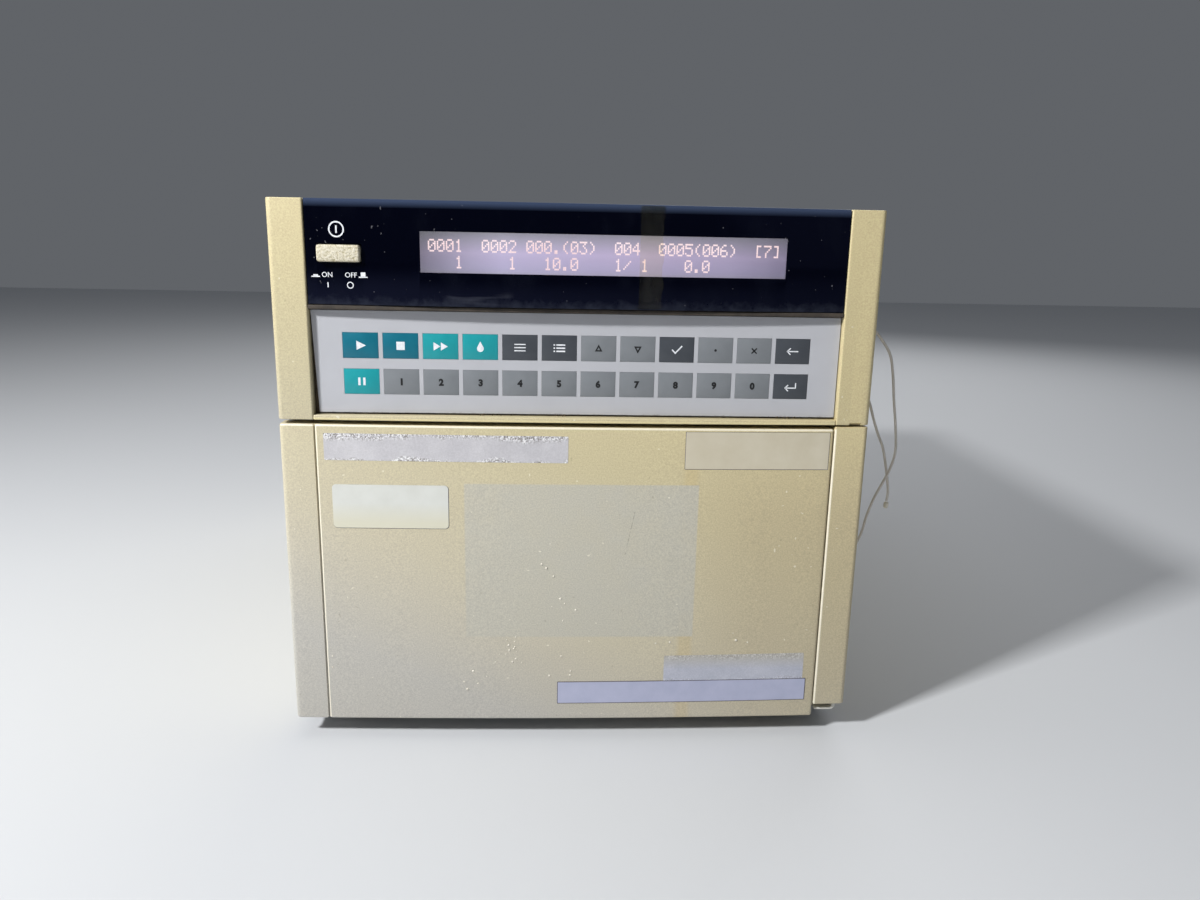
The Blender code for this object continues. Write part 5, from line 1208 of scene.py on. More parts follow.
# %% Label papers
def paper(name, shades, roughness, warm=None, torn=None):
    """Label stock: cloudy tone, a warmer part, and torn fibres along the top and bottom edges.

    Warm is (hex, from height, to height), and torn is (bottom, top, strength).
    """
    material, tree, surface, place = start(name, Roughness=roughness)
    height = add(tree, "SeparateXYZ", place).node.outputs["Z"]
    base = add(tree, "ValToRGB", add(tree, "TexNoise", place, 1 / 0.012, 5, 0.6),
               stops=[(0.3, shades[0]), (0.7, shades[1])])
    fibre = add(tree, "TexNoise", place, 1 / 0.0009, 2, 0.6)
    layers = []
    if warm:
        layers.append((add(tree, "MapRange", height, *warm[1:]), warm[0]))
    if torn:
        bottom, top, strength = torn
        uneven = add(tree, "Math", add(tree, "TexNoise", place, 1 / 0.016, 2, 0.6), 0.010, height,
                     operation="MULTIPLY_ADD")
        upper = add(tree, "MapRange", uneven, top + 0.0015, top + 0.0045, 0.08, strength)
        lower = add(tree, "MapRange", uneven, bottom + 0.0070, bottom + 0.0055, 0.0, strength)
        near = add(tree, "Math", upper, lower, operation="MAXIMUM")
        for low, high, code in ((0.54, 0.60, "#F6F5F4"), (0.47, 0.42, "#6A6356")):
            share = add(tree, "MapRange", fibre, low, high, 0.0, 0.8)
            layers.append((add(tree, "Math", share, near, operation="MULTIPLY"), code))
        fibre = add(tree, "Math", fibre, near, operation="MULTIPLY")
    feed(surface["Base Color"], painted(tree, base, layers))
    feed(surface["Normal"], add(tree, "Bump", Height=fibre, Strength=0.5, Distance=0.00012))
    return material


STRIP_HIGH, STRIP_LOW = (0.1752, 0.1910), (0.0370, 0.0546)
torn_paper = paper("torn_paper_fibres", ("#BBB9BD", "#C8C6C9"), 0.8, torn=(*STRIP_HIGH, 1.0))
torn_cool = paper("torn_coated_paper", ("#A9ACB9", "#B7B9C4"), 0.8,
                  ("#AFACA6", 0.045, 0.053), (*STRIP_LOW, 0.4))
white_label = paper("coated_paper_label", ("#CFD0C9", "#D6D7D1"), 0.4,
                    warm=("#D3D0BC", 0.150, 0.138))
pale_plate = paper("printed_vinyl_plate", ("#C6BDA6", "#CDC5B0"), 0.4)
long_plate = paper("anodised_label_strip", ("#A6AAC2", "#B0B3CA"), 0.3)
# A dark sheet a little larger than a label, laid under it, is a painted shadow along the label's
# edges.
label_edge_shadow = paper("label_edge_painted_shadow", ("#4E4A52", "#6A6570"), 0.6)

# %% Thin sheets on the door
PAPER_THICK, STUCK = 0.0001, 0.98


def bent_label(x, z, corner, lift, slope, count=24):
    """A grid over a rectangle with round corners, laid on the door's curve and rising by slope."""
    turn_in = np.linspace(0, math.pi / 2, 6)
    half_x, half_z = (x[1] - x[0]) / 2, (z[1] - z[0]) / 2
    rise = corner * (1 - np.cos(turn_in))
    rise = np.concatenate([rise, 2 * half_z - rise[::-1]])
    short = corner * (1 - np.sin(turn_in))
    short = np.concatenate([short, short[::-1]])
    xs = sum(x) / 2 + np.linspace(-1, 1, count) * (half_x - short)[:, None]
    heights = (z[0] + rise)[:, None] + slope * (xs - sum(x) / 2)
    return grid(along(xs, heights, face_y(xs) - lift, "y"))


# The three dark sheets under the sticker and the two plates are painted shadow along their edges.
LABELS = (
    ("strip_trace_upper", (-0.1450, -0.0055), STRIP_HIGH, 0.0006, torn_paper, 1, -0.002),
    ("sticker_edge", (-0.1414, -0.0744), (0.1346, 0.1610), 0.0023, label_edge_shadow, 1, 0),
    ("sticker_blank", (-0.1414, -0.0747), (0.1349, 0.1610), 0.0022, white_label, 2, 0),
    ("plate_upper_edge", (0.0623, 0.1474), (0.1718, 0.1943), 0.0004, label_edge_shadow, 1, 0),
    ("plate_upper_blank", (0.0626, 0.1471), (0.1721, 0.1941), 0.0003, pale_plate, 2, 0),
    ("strip_trace_lower", (0.0546, 0.1416), STRIP_LOW, 0.0008, torn_cool, 1, 0.011),
    ("plate_lower_edge", (-0.0106, 0.1438), (0.0230, 0.0376), 0.0004, label_edge_shadow, 2, 0.006),
    ("plate_lower_blank", (-0.0102, 0.1434), (0.0234, 0.0372), 0.0003, long_plate, 3, 0.006),
)
for name, x, z, corner, material, sheets, slope in LABELS:
    thick = sheets * PAPER_THICK
    piece(name, bent_label(x, z, corner, thick, slope), material, "door",
          wall=thick * STUCK)

# %% [markdown]
# Drops of old glue are left in a few groups where labels were peeled off, and crumbs of dirt
# lie along the bottom of the keypad. Each is a low dome, 0.5 to 1.8 mm across, at random round
# the middle of its group. The random numbers have a fixed seed, so each run gives the same ones.

# %% Drops of glue and crumbs of dirt
DOME = np.array([(0.0, 0.7), (0.5, 0.6), (0.85, 0.32), (1.0, 0.0), (0.9, -0.1), (0.0, -0.1)])
GLUE_GROUPS = ((-0.0363, 0.0582, 14), (-0.0576, 0.0317, 6), (0.0565, 0.0659, 3),
               (0.1014, 0.0646, 3), (-0.1446, 0.0439, 2), (-0.0063, 0.0842, 5),
               (-0.0165, 0.1120, 5), (-0.0030, 0.0480, 4))
DIRT_GROUPS = ((-0.0535, 0.2019, 9), (0.1237, 0.2023, 6), (-0.0080, 0.2018, 4))
GLUE_SPREAD, GLUE_SIZE, GLUE_SEED = (0.0062, 0.0062), 0.0006, 7
DIRT_SPREAD, DIRT_SIZE, DIRT_SEED = (0.0045, 0.00025), 0.0004, 3
SIZE_SPREAD, LEAST, MOST = 0.33, 0.6, 1.5


def domes(groups, spread, size, front_y, seed):
    """Low domes at random round the middles of groups, standing out of a front y(x)."""
    chance = np.random.default_rng(seed)
    shapes = []
    for x, z, count in groups:
        for dx, dz, more in chance.normal(0, 1, (count, 3)) * (*spread, SIZE_SPREAD):
            dome = DOME * (1, -1) * size * min(max(1 + more, LEAST), MOST)
            shapes.append(lathe(dome + (0, front_y(x + dx)), (x + dx, z + dz), "y", 12))
    return joined(shapes)


# Dried clear adhesive over the cream plastic: the plastic's colour, but smooth and glossy.
dry_glue = mottled("dried_clear_adhesive", ("#D2CDBE", "#E4DFD2"), 0.01, 0.001, 0.00001,
                   Roughness=0.12, IOR=1.48)
piece("glue_drops", domes(GLUE_GROUPS, GLUE_SPREAD, GLUE_SIZE, face_y, GLUE_SEED), dry_glue,
      "door")
# Dust caked with grease: dark brown and matt.
caked_dirt = mottled("caked_dust", ("#3B3022", "#6A5A44"), 0.001, 0.0006, 0.00006, Roughness=0.9)
piece("keypad_crumbs", domes(DIRT_GROUPS, DIRT_SPREAD, DIRT_SIZE, lambda x: keypad_low.y,
                             DIRT_SEED), caked_dirt, "case")

# %% [markdown]
# ## Case, back and feet
#
# The cover is one sheet of steel, bent over both sides and the top and painted cream. It is a
# grid too: one line of points goes up the left side, round the bends and down the right, and is
# carried from front to back, and the cells of the cooling slots are left out.

# %% Line of the cover and its slots
cover_low, cover_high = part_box("outer_cover")
SHEET, BEND = 0.0015, 0.004
SLOT, SLOTS, SLOT_PITCH, SLOT_START = 0.003, 8, 0.009, 0.030
SLOT_Y = (cover_high.y - 0.080, cover_high.y - 0.030)
slot_z = cover_low.z + SLOT_START + SLOT_PITCH * np.arange(SLOTS)
side_z = np.unique(np.round(np.concatenate([
    [cover_low.z], slot_z, slot_z + SLOT,
    np.linspace(slot_z[-1] + 0.02, cover_high.z - BEND, 5)]), 6))
angle = np.radians(np.linspace(180, 90, 9))[1:-1]
left = np.stack([np.full(len(side_z), -COVER_X), side_z], 1)
bend = np.stack([-COVER_X + BEND + BEND * np.cos(angle),
                 cover_high.z - BEND + BEND * np.sin(angle)], 1)
flat_x = np.linspace(-COVER_X + BEND, COVER_X - BEND, 9)
flat = np.stack([flat_x, np.full(len(flat_x), cover_high.z)], 1)
profile = np.concatenate([left, bend, flat, bend[::-1] * (-1, 1), left[::-1] * (-1, 1)])
ys = np.unique(np.concatenate([np.linspace(cover_low.y, cover_high.y, 12), SLOT_Y]))
middle_z = (profile[1:, 1:] + profile[:-1, 1:]) / 2
upright = np.abs(profile[1:, 0] - profile[:-1, 0]) < 1e-6
in_slot = np.any((middle_z > slot_z) & (middle_z < slot_z + SLOT), 1) & upright
in_length = (ys[1:] > SLOT_Y[0] + 1e-6) & (ys[1:] < SLOT_Y[1] + 1e-6)
print("cells left out for slots:", in_slot.sum() * in_length.sum())

# %% Painted cover
# Steel sheet with a baked satin paint: a fine even grain, and a soft variation over the sheet.
cream_paint, tree, surface, place = start("baked_cream_paint", Roughness=0.45)
fine = add(tree, "TexNoise", place, 1 / GRAIN, 2, 0.6)
scuffs = add(tree, "TexNoise", add(tree, "Mapping", place, Scale=(1, 0.25, 1)), 1 / 0.004, 2, 0.6)
base = add(tree, "ValToRGB", add(tree, "TexNoise", place, 1 / 0.12, 4, 0.6),
           stops=[(0.3, "#CFC5A4"), (0.7, "#D8CEAE")])
tone = add(tree, "ValToRGB", fine, stops=[(0.3, "#90886F"), (0.7, "#FFF8E0")])
scuffs = add(tree, "ValToRGB", scuffs, stops=[(0.74, "#000000"), (0.78, "#707070")])
feed(surface["Base Color"],
     painted(tree, base, [(0.12, tone, "OVERLAY"), (scuffs, "#A39A80")]))
feed(surface["Normal"], add(tree, "Bump", Height=fine, Distance=0.00007, Strength=0.7))
piece("cover_sheet", grid(along(profile[:, :1], profile[:, 1:], ys, "y"),
                          ~(in_slot[:, None] & in_length)),
      cream_paint, "case", ["outer_cover"], wall=SHEET)

# %% [markdown]
# The back is not in the photograph. It is kept plain: the CAD sheet with painted finish, pan head
# screws, a wire guard over the fan and two blank signal sockets.

# %% Back of the case
REAR_SCREW_X, REAR_SCREW_Z = (-0.155, 0.155), (0.030, 0.165, 0.300)
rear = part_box("rear_panel")[1].y
finish_nodes(["rear_panel"], cream_paint)
# Zinc plated steel: dull metal with a faint warm tone.
zinc = mottled("zinc_plated_steel", ("#A9ABAC", "#C3C4C2"), 0.008, 0.0012, 0.00004, detail=4,
               Roughness=0.38, Metallic=1.0)
HEAD = in_mm((0.0, 0.0), (3.0, 0.0), (3.0, 0.5), (2.5, 1.1), (1.6, 1.45), (1.2, 1.5),
             (1.2, 0.8), (0.0, 0.8))
piece("rear_screws", joined([lathe(HEAD + (0, rear), (x, z), "y", 24)
                             for z in REAR_SCREW_Z for x in REAR_SCREW_X]),
      zinc, "case")

# %% [markdown]
# The guard is four rings of wire, four spokes that carry them and a screw at each corner. A ring
# is a small circle turned about the fan's axis, and a spoke is one shape turned to four places.

# %% Fan guard
FAN = centre_of("fan_frame")[[0, 2]]
WIRE, WIRE_LIFT = 0.0008, 0.0009
GUARD_RINGS, GUARD_SCREW = (0.010, 0.018, 0.026, 0.034), 0.0357
SPOKE = in_mm((0.0, 9.0), (0.8, 9.1), (0.8, 38.5), (0.0, 38.6))


def turned(shape, centre, degrees):
    """A shape turned about a line along y through (x, z)."""
    points, faces = shape
    c, s = math.cos(math.radians(degrees)), math.sin(math.radians(degrees))
    x, z = points[:, 0] - centre[0], points[:, 2] - centre[1]
    return np.stack([centre[0] + c * x - s * z, points[:, 1], centre[1] + s * x + c * z], 1), faces


guard = [lathe(circle(WIRE, 10) + (radius, rear + WIRE_LIFT), FAN, "y", 48, hollow=True)
         for radius in GUARD_RINGS]
spoke = lathe(SPOKE + (0, FAN[0]), (rear + WIRE_LIFT, FAN[1]), "x", 10)
guard += [turned(spoke, FAN, degrees) for degrees in (45, 135, 225, 315)]
guard += [lathe(HEAD * (0.8, 0.7) + (0, rear), (FAN[0] + sx * GUARD_SCREW,
                                                FAN[1] + sz * GUARD_SCREW), "y", 20)
          for sx in (-1, 1) for sz in (-1, 1)]
piece("fan_guard", joined(guard), zinc, "case")

# %% [markdown]
# A socket is a thin plated shell with two small screws and a dark insert that stands out of it.
# The inlet, the switch and the fan's frame are CAD solids of the same dark plastic.

# %% Sockets on the back
# Nickel plated shells: brighter and warmer than zinc.
nickel = mottled("nickel_plated_steel", ("#B9B6AE", "#D2CFC6"), 0.006, 0.0015, 0.00003,
                 Roughness=0.22, Metallic=1.0)
# Black polyamide, moulded: dark and satin.
black_plastic = mottled("moulded_black_polyamide", ("#131314", "#202022"), 0.003, 0.0008,
                        0.00006, Roughness=0.5)
SOCKET_Z, SOCKET_SCREW_X = (0.110, 0.140), (0.0932, 0.1168)
SHELL_X, SHELL_HALF, SHELL_THICK = (0.090, 0.120), 0.006, 0.0008
INSERT_X, INSERT_HALF, INSERT_Y = (0.0965, 0.1135), 0.004, (rear + 0.0006, rear + 0.0022)
INLET_SCREW, INLET_SUNK = 0.020, 0.0004
shells, inserts = [], []
for z in SOCKET_Z:
    shells.append(slab(round_rect(SHELL_X, both(z, SHELL_HALF), 0.0015), rear,
                       rear + SHELL_THICK, CUT_RIM, "y"))
    inserts.append(slab(round_rect(INSERT_X, both(z, INSERT_HALF), 0.0030), *INSERT_Y, 0.0003,
                        "y"))
    shells += [lathe(HEAD * (0.6, 0.9) + (0, INSERT_Y[0]), (x, z), "y", 6)
               for x in SOCKET_SCREW_X]
piece("signal_socket_shells", joined(shells), nickel, "case")
piece("signal_socket_inserts", joined(inserts), black_plastic, "case")
finish_nodes(["mains_inlet", "power_switch", "fan_frame"], black_plastic)
inlet_x, _, inlet_z = centre_of("mains_inlet")
inlet_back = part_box("mains_inlet")[1].y
piece("inlet_screws", joined([
    lathe(HEAD * (0.7, 0.35) + (0, inlet_back - INLET_SUNK), (x, inlet_z), "y", 20)
    for x in both(inlet_x, INLET_SCREW)]), zinc, "case")

# %% [markdown]
# Four rubber feet: a taper with a rounded rim and a screw recess underneath.

# %% Rubber feet
# Moulded nitrile rubber: black going grey, quite matt.
rubber = mottled("moulded_nitrile_rubber", ("#18181A", "#2A2A2B"), 0.006, 0.0012, 0.0001,
                 detail=4, Roughness=0.8)
FOOT = in_mm((0.0, 3.0), (3.4, 3.0), (3.4, 0.6), (3.8, 0.0), (11.2, 0.0), (11.9, 0.5),
             (13.7, 10.6), (13.9, 11.6), (13.6, 12.0), (0.0, 12.0))
for name in ("foot_front_left", "foot_front_right", "foot_rear_left", "foot_rear_right"):
    piece(name + "_rubber", lathe(FOOT, centre_of(name)[:2], "z", 40), rubber, "case",
          [name])

# %% [markdown]
# ## Inside the sample compartment
#
# Behind the door is a pale moulded compartment with two racks of vials, and a needle arm that
# travels over them: a rail with a lead screw at the back, a carriage with two rods that reach
# forward, a block that slides along the rods, and the needle. The CAD solids of the compartment,
# the chassis, the hinge pin and the rail keep their shapes and get real finishes.

# %% Finishes of the compartment, chassis and rail
# Polypropylene, injection moulded: pale grey, soft sheen.
pale_poly = mottled("moulded_polypropylene", ("#BDBCB8", "#C9C8C4"), 0.05, 0.0012, 0.00005,
                    detail=4, Roughness=0.42)
# The tray's polypropylene has a warmer tone.
tray_poly = mottled("moulded_tray_polypropylene", ("#C9C7BE", "#D6D4CC"), 0.03, 0.0012, 0.00005,
                    detail=4, Roughness=0.4)
# Ground bearing steel for the rail, screw, rods and needle: bright, with fine lengthwise lines.
ground_steel = mottled("ground_bearing_steel", ("#9FA2A6", "#C9CCD0"), 0.0015, 0.0015, 0.00002,
                       (0.05, 1, 1), 2, Roughness=0.22, Metallic=1.0)
finish_nodes(["compartment_liner"], pale_poly)
finish_nodes(["base_chassis", "power_supply", "door_hinge_pin"], zinc)
finish_nodes(["control_board"], green_board)
finish_nodes(["x_rail"], ground_steel)

# %% [markdown]
# The leak tray is a shallow pan. Its lip comes forward under the right column as a channel with
# a thin floor and one thin side that bends up, so the space above its floor looks dark.

# %% Leak tray
tray_low, tray_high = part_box("leak_tray")
TRAY_WALL, LIP_WALL, LIP_SIDE = 0.0015, 0.0013, 0.0020
LIP_RIGHT, OUTER_BEND, INNER_BEND = 0.1650, 0.0032, 0.0018
TRAY_EDGE, LIP_EDGE = 0.0004, 0.0003
pan_front = FRAME_Y + 0.0018
lip_left = column_low.x + 0.0020
piece("tray_pan", brick((tray_low.x, tray_high.x), (pan_front, tray_high.y),
                        (tray_low.z, tray_high.z), TRAY_EDGE, 0.002),
      tray_poly, "case", ["leak_tray"],
      cuts=[brick((tray_low.x + TRAY_WALL, tray_high.x - TRAY_WALL),
                  (pan_front + TRAY_WALL, tray_high.y - TRAY_WALL),
                  (tray_low.z + TRAY_WALL, tray_high.z + OVERRUN), TRAY_EDGE, 0.0012)])
angle = np.radians(np.linspace(-90, 0, 8))
bend = np.stack([np.cos(angle), np.sin(angle)], 1)
outer = bend * OUTER_BEND + (LIP_RIGHT - OUTER_BEND, tray_low.z + OUTER_BEND)
inner = bend * INNER_BEND + (LIP_RIGHT - LIP_SIDE - INNER_BEND,
                             tray_low.z + LIP_WALL + INNER_BEND)
channel = np.concatenate([[(lip_left, tray_low.z)], outer, [(LIP_RIGHT, tray_high.z)],
                          [(LIP_RIGHT - LIP_SIDE, tray_high.z)], inner[::-1],
                          [(lip_left, tray_low.z + LIP_WALL)]])
piece("tray_lip", joined([
    slab(channel, tray_low.y, FRAME_Y - 0.0003, LIP_EDGE, "y"),
    brick((lip_left, tray_high.x), (FRAME_Y - 0.002, pan_front + 0.001),
          (tray_low.z, tray_low.z + LIP_WALL), LIP_EDGE)]), tray_poly, "case")

# %% [markdown]
# A rack is an aluminium block with a well for each vial. A vial is a turned glass shape with a
# thin wall, open at its neck, under a ribbed cap with a slit disc of rubber. Each is hollow, so
# the needle can go down into every one of them.

# %% Finishes of racks and vials
# Anodised aluminium block: matt, faintly blue-grey, machined lengthwise.
anodised = mottled("anodised_aluminium", ("#A9AEB4", "#BCC1C6"), 0.01, 0.0012, 0.00003,
                   (0.2, 1, 1), 4, Roughness=0.42, Metallic=0.85)
# Borosilicate glass: clear, with bright edges.
vial_glass = start("borosilicate_glass", Roughness=0.05, IOR=1.47, Base_Color="#EAF2F4",
                   Transmission_Weight=0.85)[0]
# Blue polypropylene caps: clean colour, soft sheen.
blue_cap = mottled("moulded_blue_cap", ("#24549A", "#2C60AC"), 0.01, 0.001, 0.00004,
                   Roughness=0.4)
# Rubber discs faced with red film: dull.
septum_rubber = mottled("faced_butyl_rubber", ("#93433A", "#A34E43"), 0.004, 0.001, 0.00003,
                        Roughness=0.6)

# %% Racks and vials
VIAL_COLUMNS, VIAL_ROWS = 5, 9
RACK_MARGIN = (0.0045, 0.003)
VIAL_RISE = 0.0120
HANDLE, HANDLE_HALF, HANDLE_Z, HANDLE_OVERLAP = 0.004, 0.020, np.array([0.010, 0.022]), 0.002
WELL = [(0.0059, -0.0206), (0.0059, OVERRUN)]
GLASS = in_mm((0.0, -20.2), (5.2, -20.2), (5.5, -19.8), (5.5, 1.6), (5.3, 2.4), (4.0, 3.2),
              (4.0, 8.0), (2.8, 8.0), (2.8, 3.6), (4.6, 2.0), (4.6, -19.2), (0.0, -19.2))
CAP = in_mm((4.05, 3.6), (5.3, 3.6), (5.6, 3.9), (5.6, 10.8), (5.2, 11.4), (3.2, 11.5),
            (2.9, 11.0), (2.9, 8.1), (4.05, 8.1))
SEPTUM = in_mm((1.1, 9.4), (2.95, 9.4), (2.95, 10.3), (1.1, 10.3))
for side in ("left", "right"):
    low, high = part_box("vial_rack_" + side)
    rack_top = high.z - VIAL_RISE
    block_y = (low.y + HANDLE, high.y)
    pitch = (high.x - low.x - 2 * RACK_MARGIN[0]) / VIAL_COLUMNS
    spots = np.array([(low.x + RACK_MARGIN[0] + pitch * (i + 0.5),
                       block_y[0] + RACK_MARGIN[1] + pitch * (j + 0.5), rack_top)
                      for j in range(VIAL_ROWS) for i in range(VIAL_COLUMNS)])
    wells = repeated(lathe(WELL, (0, 0), "z", 24), spots)
    piece("rack_block_" + side, joined([
        brick((low.x, high.x), block_y, (low.z, rack_top), 0.0008, 0.0015),
        brick(both(centre_of("vial_rack_" + side)[0], HANDLE_HALF),
              (low.y, block_y[0] + HANDLE_OVERLAP), low.z + HANDLE_Z, 0.0015, 0.0018)]),
        anodised, "case", ["vial_rack_" + side], cuts=[wells])
    piece("vials_" + side, repeated(lathe(GLASS, (0, 0), "z", 16), spots), vial_glass, "case")
    piece("vial_caps_" + side, repeated(lathe(CAP, (0, 0), "z", 24, 12, -0.02, True), spots),
          blue_cap, "case")
    piece("vial_septa_" + side, repeated(lathe(SEPTUM, (0, 0), "z", 16, hollow=True), spots),
          septum_rubber, "case")

# %% [markdown]
# The lead screw is a true helix: its radius goes up and down as a rounded saw of the angle minus
# the distance along it, so neighbouring rings are turned a little against each other.

# %% Lead screw
screw_low, screw_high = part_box("x_screw")
SCREW_LEAD, SCREW_STARTS = 0.010, 4
SCREW_RADIUS = (screw_high.z - screw_low.z) / 2
THREAD_DEPTH, STEEPNESS = 0.0009, 2.2
PLAIN_END = 0.006
SCREW = centre_of("x_screw")[1:]
x = np.linspace(screw_low.x, screw_high.x, 700)[:, None]
angle = (2 * math.pi * np.arange(32) / 32)[None]
phase = np.cos(SCREW_STARTS * (angle - 2 * math.pi * x / SCREW_LEAD))
plain = (x < screw_low.x + PLAIN_END) | (x > screw_high.x - PLAIN_END)
groove = 0.5 - 0.5 * np.tanh(STEEPNESS * phase)
radius = SCREW_RADIUS - THREAD_DEPTH * np.where(plain, 1, groove)
piece("lead_screw", loft(along(SCREW[0] + radius * np.cos(angle),
                               SCREW[1] + radius * np.sin(angle), x, "x")),
      ground_steel, "screw", ["x_screw"])

# %% [markdown]
# The carriage is a block with a slot for the rail and a bore for the screw. Its two rods end in
# a plate with two screws. Everything on it is placed from the needle's own axis, its home.

# %% Carriage
carriage_low, carriage_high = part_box("x_carriage")
needle_low, needle_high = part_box("needle_slider")
rail_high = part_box("x_rail")[1]
HOME, ROD_Z = centre_of("needle_slider")[:2], centre_of("x_carriage")[2]
ROD_X = both(HOME[0], 0.009)
ROD, ROD_RIM = 0.003, 0.0028
SLOT_DEEP, SLOT_LOW, SLOT_GAP, SCREW_GAP = 0.0083, 0.0222, 0.0003, 0.0004
BLOCK_HALF, CUT_HALF = 0.014, 0.02
PLATE_HALF, PLATE_RISE, PLATE_THICK = 0.012, 0.006, 0.005
block_front = rail_high.y - 0.0417
rod_front = HOME[1] - 0.021
rail_slot = slab(round_rect((rail_high.y - SLOT_DEEP, rail_high.y + OVERRUN),
                            (rail_high.z - SLOT_LOW, rail_high.z + SLOT_GAP), SLOT_GAP),
                 *both(HOME[0], CUT_HALF), FINE_RIM, "x")
screw_bore = lathe([(SCREW_RADIUS + SCREW_GAP, x) for x in both(HOME[0], CUT_HALF)], SCREW, "x")
piece("carriage_block", brick(both(HOME[0], BLOCK_HALF), (block_front, carriage_high.y),
                              (carriage_low.z, carriage_high.z), 0.0012, 0.002),
      black_plastic, "carriage", ["x_carriage"], cuts=[rail_slot, screw_bore])
rod = [(0.0, rod_front + 0.001), (ROD_RIM, rod_front + 0.001), (ROD, rod_front + 0.0013),
       (ROD, block_front + 0.002), (0.0, block_front + 0.002)]
piece("carriage_rods", joined([lathe(rod, (rod_x, ROD_Z), "y") for rod_x in ROD_X]),
      ground_steel, "carriage")
piece("carriage_end_plate", brick(both(HOME[0], PLATE_HALF), (rod_front, rod_front + PLATE_THICK),
                                  both(ROD_Z, PLATE_RISE), 0.0008, 0.0015),
      anodised, "carriage")
piece("carriage_end_screws", joined([
    lathe(HEAD * (0.55, -0.4) + (0, rod_front + 0.0001), (rod_x, ROD_Z), "y", 6)
    for rod_x in ROD_X]), zinc, "carriage")

# %% [markdown]
# The traverse is a block with two round bores for the rods and a square one for the needle's
# bar. The needle is turned, with a fine point, and a small holder grips it under the bar.

# %% Traverse and needle
traverse_low, traverse_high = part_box("y_traverse")
ROD_BORE, BAR, BAR_HOLE, HOLDER = 0.0034, 0.003, 0.0033, 0.005
BAR_CORNER = 0.0005
BAR_LENGTH, HOLDER_HALF = 0.0699, 0.004
NEEDLE = in_mm((0.0, 0.0), (0.15, 0.6), (0.8, 3.0), (0.8, 31.0), (0.0, 31.0))


def around_home(half, z, edge, corner):
    """A block round the needle's axis, half wide to each side."""
    return brick(both(HOME[0], half), both(HOME[1], half), z, edge, corner)


bores = [lathe([(ROD_BORE, traverse_low.y - OVERRUN), (ROD_BORE, traverse_high.y + OVERRUN)],
               (rod_x, ROD_Z), "y", 24) for rod_x in ROD_X]
bores.append(around_home(BAR_HOLE, (traverse_low.z - OVERRUN, traverse_high.z + OVERRUN),
                         FINE_RIM, BAR_CORNER))
piece("traverse_block", brick((traverse_low.x, traverse_high.x),
                              (traverse_low.y, traverse_high.y),
                              (traverse_low.z, traverse_high.z), 0.0012, 0.002),
      black_plastic, "traverse", ["y_traverse"], cuts=bores)
bar_bottom = needle_high.z - BAR_LENGTH
piece("needle_bar", joined([
    around_home(BAR, (bar_bottom, needle_high.z), 0.0004, BAR_CORNER),
    lathe(NEEDLE + (0, needle_low.z), HOME, "z", 20)]),
    ground_steel, "needle", ["needle_slider"])
piece("needle_holder", around_home(HOLDER, both(bar_bottom, HOLDER_HALF), 0.0008, 0.0012),
      ivory_acetal, "needle")

# %% [markdown]
# ## Injection valve, syringe and fan
#
# In the narrow bay at the right are the six-port valve and the metering syringe. The valve has a
# steel head on two posts, with a disc behind it that turns. The syringe is a glass barrel with
# marks, closed at the top, and its plunger comes up from below.

# %% Valve
stator_low, stator_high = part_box("valve_stator")
BAY = centre_of("syringe_barrel")[:2]
VALVE = (BAY[0], centre_of("valve_stator")[2])
# Polished stainless steel: the brightest metal here.
stainless = mottled("polished_stainless_steel", ("#B4B6B8", "#CDCFD1"), 0.008, 0.002, 0.00002,
                    Roughness=0.16, Metallic=1.0)
valve_front = stator_low.y + 0.004
HEAD_DISC = in_mm((0.0, 0.0), (12.6, 0.0), (14.0, 1.2), (14.0, 11.2), (13.4, 12.0), (0.0, 12.0))
PORT = in_mm((0.0, -4.0), (1.6, -4.0), (2.2, -3.5), (2.2, 1.0), (0.0, 1.0))
POST = in_mm((0.0, 10.0), (1.6, 10.0), (1.6, 34.0), (0.0, 34.0))
PORTS, PORT_CIRCLE, POST_RISE = 6, 0.008, 0.0122
PLATE_FRONT, PLATE_HOLE = 0.032, 0.0034
head = [lathe(HEAD_DISC + (0, valve_front), VALVE, "y", 48)]
head += [lathe(PORT + (0, valve_front), (VALVE[0] + PORT_CIRCLE * math.cos(angle),
                                         VALVE[1] + PORT_CIRCLE * math.sin(angle)), "y", 6)
         for angle in np.arange(PORTS) * math.pi / 3]
head += [lathe(POST + (0, valve_front), (VALVE[0], z), "y", 16)
         for z in both(VALVE[1], POST_RISE)]
piece("valve_head", joined(head), stainless, "case", ["valve_stator"])
plate_hole = lathe([(PLATE_HOLE, stator_high.y - 0.02), (PLATE_HOLE, stator_high.y + OVERRUN)],
                   VALVE, "y")
piece("valve_plate", slab(round_rect((stator_low.x, stator_high.x),
                                     (stator_low.z, stator_high.z), 0.002),
                          valve_front + PLATE_FRONT, stator_high.y, 0.0004, "y"),
      stainless, "case", cuts=[plate_hole])

# %% Valve rotor
rotor_low, rotor_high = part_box("valve_rotor")
DISC = in_mm((0.0, 0.0), (8.6, 0.0), (9.0, 0.4), (9.0, 5.0), (3.0, 5.0))
GEAR = in_mm((3.0, -5.0), (10.6, -5.0), (11.0, -4.6), (11.0, -0.4), (10.6, 0.0), (0.0, 0.0))
SHAFT_END = in_mm((3.0, -4.0), (0.0, -4.0))
rotor_disc = np.concatenate([DISC + (0, rotor_low.y), SHAFT_END + (0, rotor_high.y)])
piece("valve_rotor_disc", joined([
    lathe(rotor_disc, VALVE, "y", 40),
    lathe(GEAR + (0, rotor_high.y), VALVE, "y", 160, 20, 0.035)]),
    black_plastic, "valve", ["valve_rotor"])

# %% [markdown]
# The syringe's barrel is one closed profile turned about its axis, with fourteen fine rings as
# its marks. The plunger is a rod with a thicker end inside the barrel and a block at its foot.

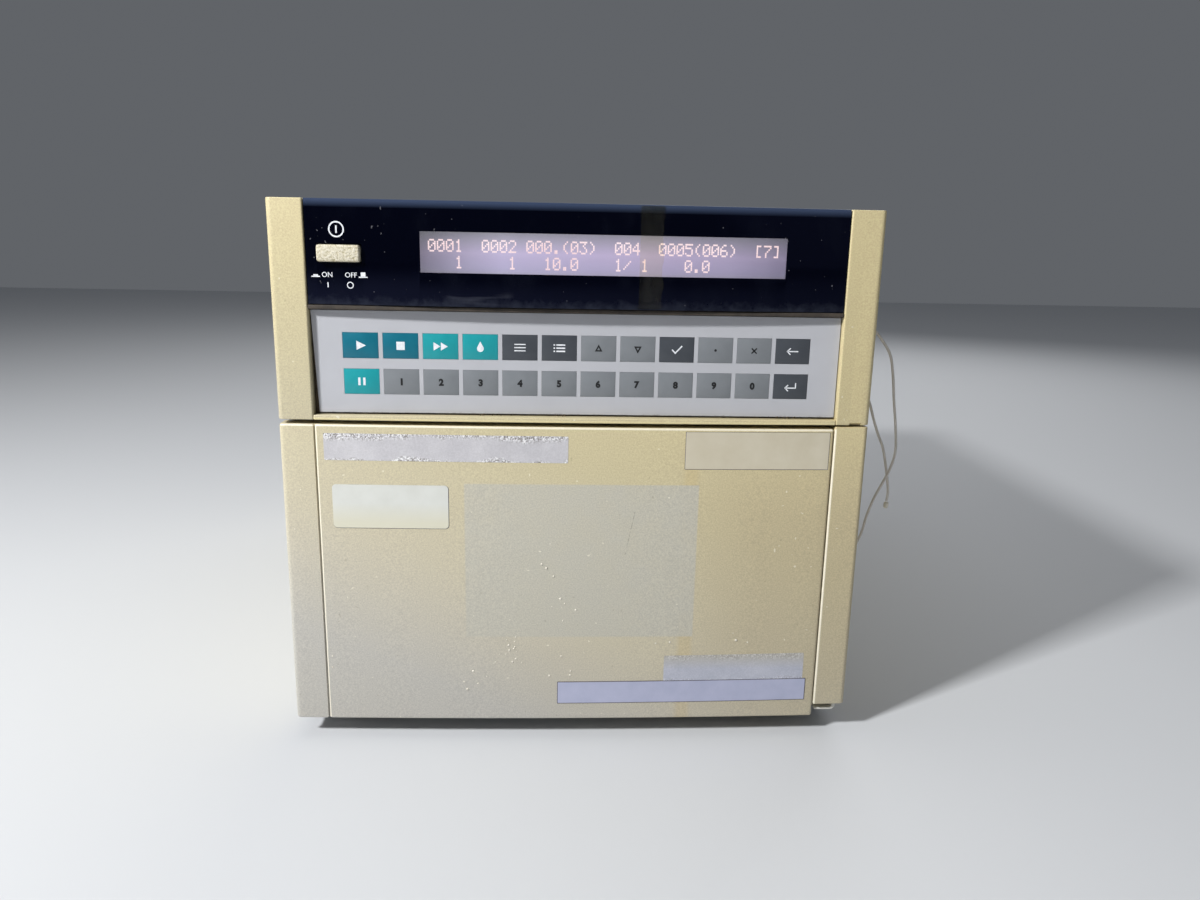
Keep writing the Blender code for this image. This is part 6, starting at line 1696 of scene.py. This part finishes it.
# %% Syringe
BARREL = in_mm((3.3, 0.0), (5.0, 0.0), (5.0, 50.0), (4.6, 52.4), (2.8, 53.0), (2.8, 60.6),
               (2.2, 61.0), (0.0, 61.0), (0.0, 50.0), (3.3, 49.9))
TICK = in_mm((5.02, 0.0), (5.08, 0.1), (5.08, 0.4), (5.02, 0.5), (4.9, 0.25))
TICKS, TICK_LOW, TICK_HIGH = 14, 0.014, 0.040
ROD_FOOT = in_mm((0.0, 3.0), (1.6, 3.0))
ROD_TOP = in_mm((1.6, -6.0), (2.9, -5.8), (2.9, -0.6), (2.2, 0.0), (0.0, 0.0))
YOKE_HALF, YOKE_HIGH = 0.007, 0.006
plunger_low, plunger_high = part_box("syringe_plunger")
barrel_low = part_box("syringe_barrel")[0]
piece("syringe_glass_barrel", lathe(BARREL + (0, barrel_low.z), BAY, hollow=True),
      vial_glass, "case", ["syringe_barrel"])
piece("syringe_ticks", joined([
    lathe(TICK + (0, z), BAY, hollow=True)
    for z in np.linspace(barrel_low.z + TICK_LOW, barrel_low.z + TICK_HIGH, TICKS)]),
    black_ink, "case")
plunger = np.concatenate([ROD_FOOT + (0, plunger_low.z), ROD_TOP + (0, plunger_high.z)])
piece("syringe_plunger_rod", joined([
    lathe(plunger, BAY),
    brick(both(BAY[0], YOKE_HALF), both(BAY[1], YOKE_HALF),
          (plunger_low.z, plunger_low.z + YOKE_HIGH), 0.0008, 0.0015)]),
    stainless, "plunger", ["syringe_plunger"])

# %% [markdown]
# The fan sits behind the rear panel. Its seven blades are curved sheets: each is a grid in
# radius and chord whose angle grows along the chord while its place along the axis does too.

# %% Fan rotor
fan_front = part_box("fan_rotor")[0].y
HUB = in_mm((0.0, 0.0), (16.0, 0.0), (17.5, 1.5), (17.5, 18.6), (16.5, 20.0), (0.0, 20.0))
BLADES, BLADE_WALL = 7, 0.0013
ROOT, BLADE_TIP = 0.0170, 0.0352
HALF_SWEEP, LAG, LAG_SPAN = 0.28, 0.10, 0.018
HALF_DEPTH, CAMBER = 0.0062, 0.0012
radial = np.linspace(ROOT, BLADE_TIP, 10)[:, None]
chord = np.linspace(-1, 1, 14)[None]
sweep = HALF_SWEEP * chord + LAG * (radial - ROOT) / LAG_SPAN
blade_y = centre_of("fan_rotor")[1] + HALF_DEPTH * chord - CAMBER * (1 - chord ** 2)
blades = [lathe(HUB + (0, fan_front), FAN, "y", 48)]
for angle in sweep + 2 * math.pi * np.arange(BLADES)[:, None, None] / BLADES:
    front = along(FAN[0] + radial * np.cos(angle), FAN[1] + radial * np.sin(angle), blade_y, "y")
    blades.append(loft(np.concatenate([front, (front + (0, BLADE_WALL, 0))[:, ::-1]], 1)))
piece("fan_blades", joined(blades), black_plastic, "fan", ["fan_rotor"])
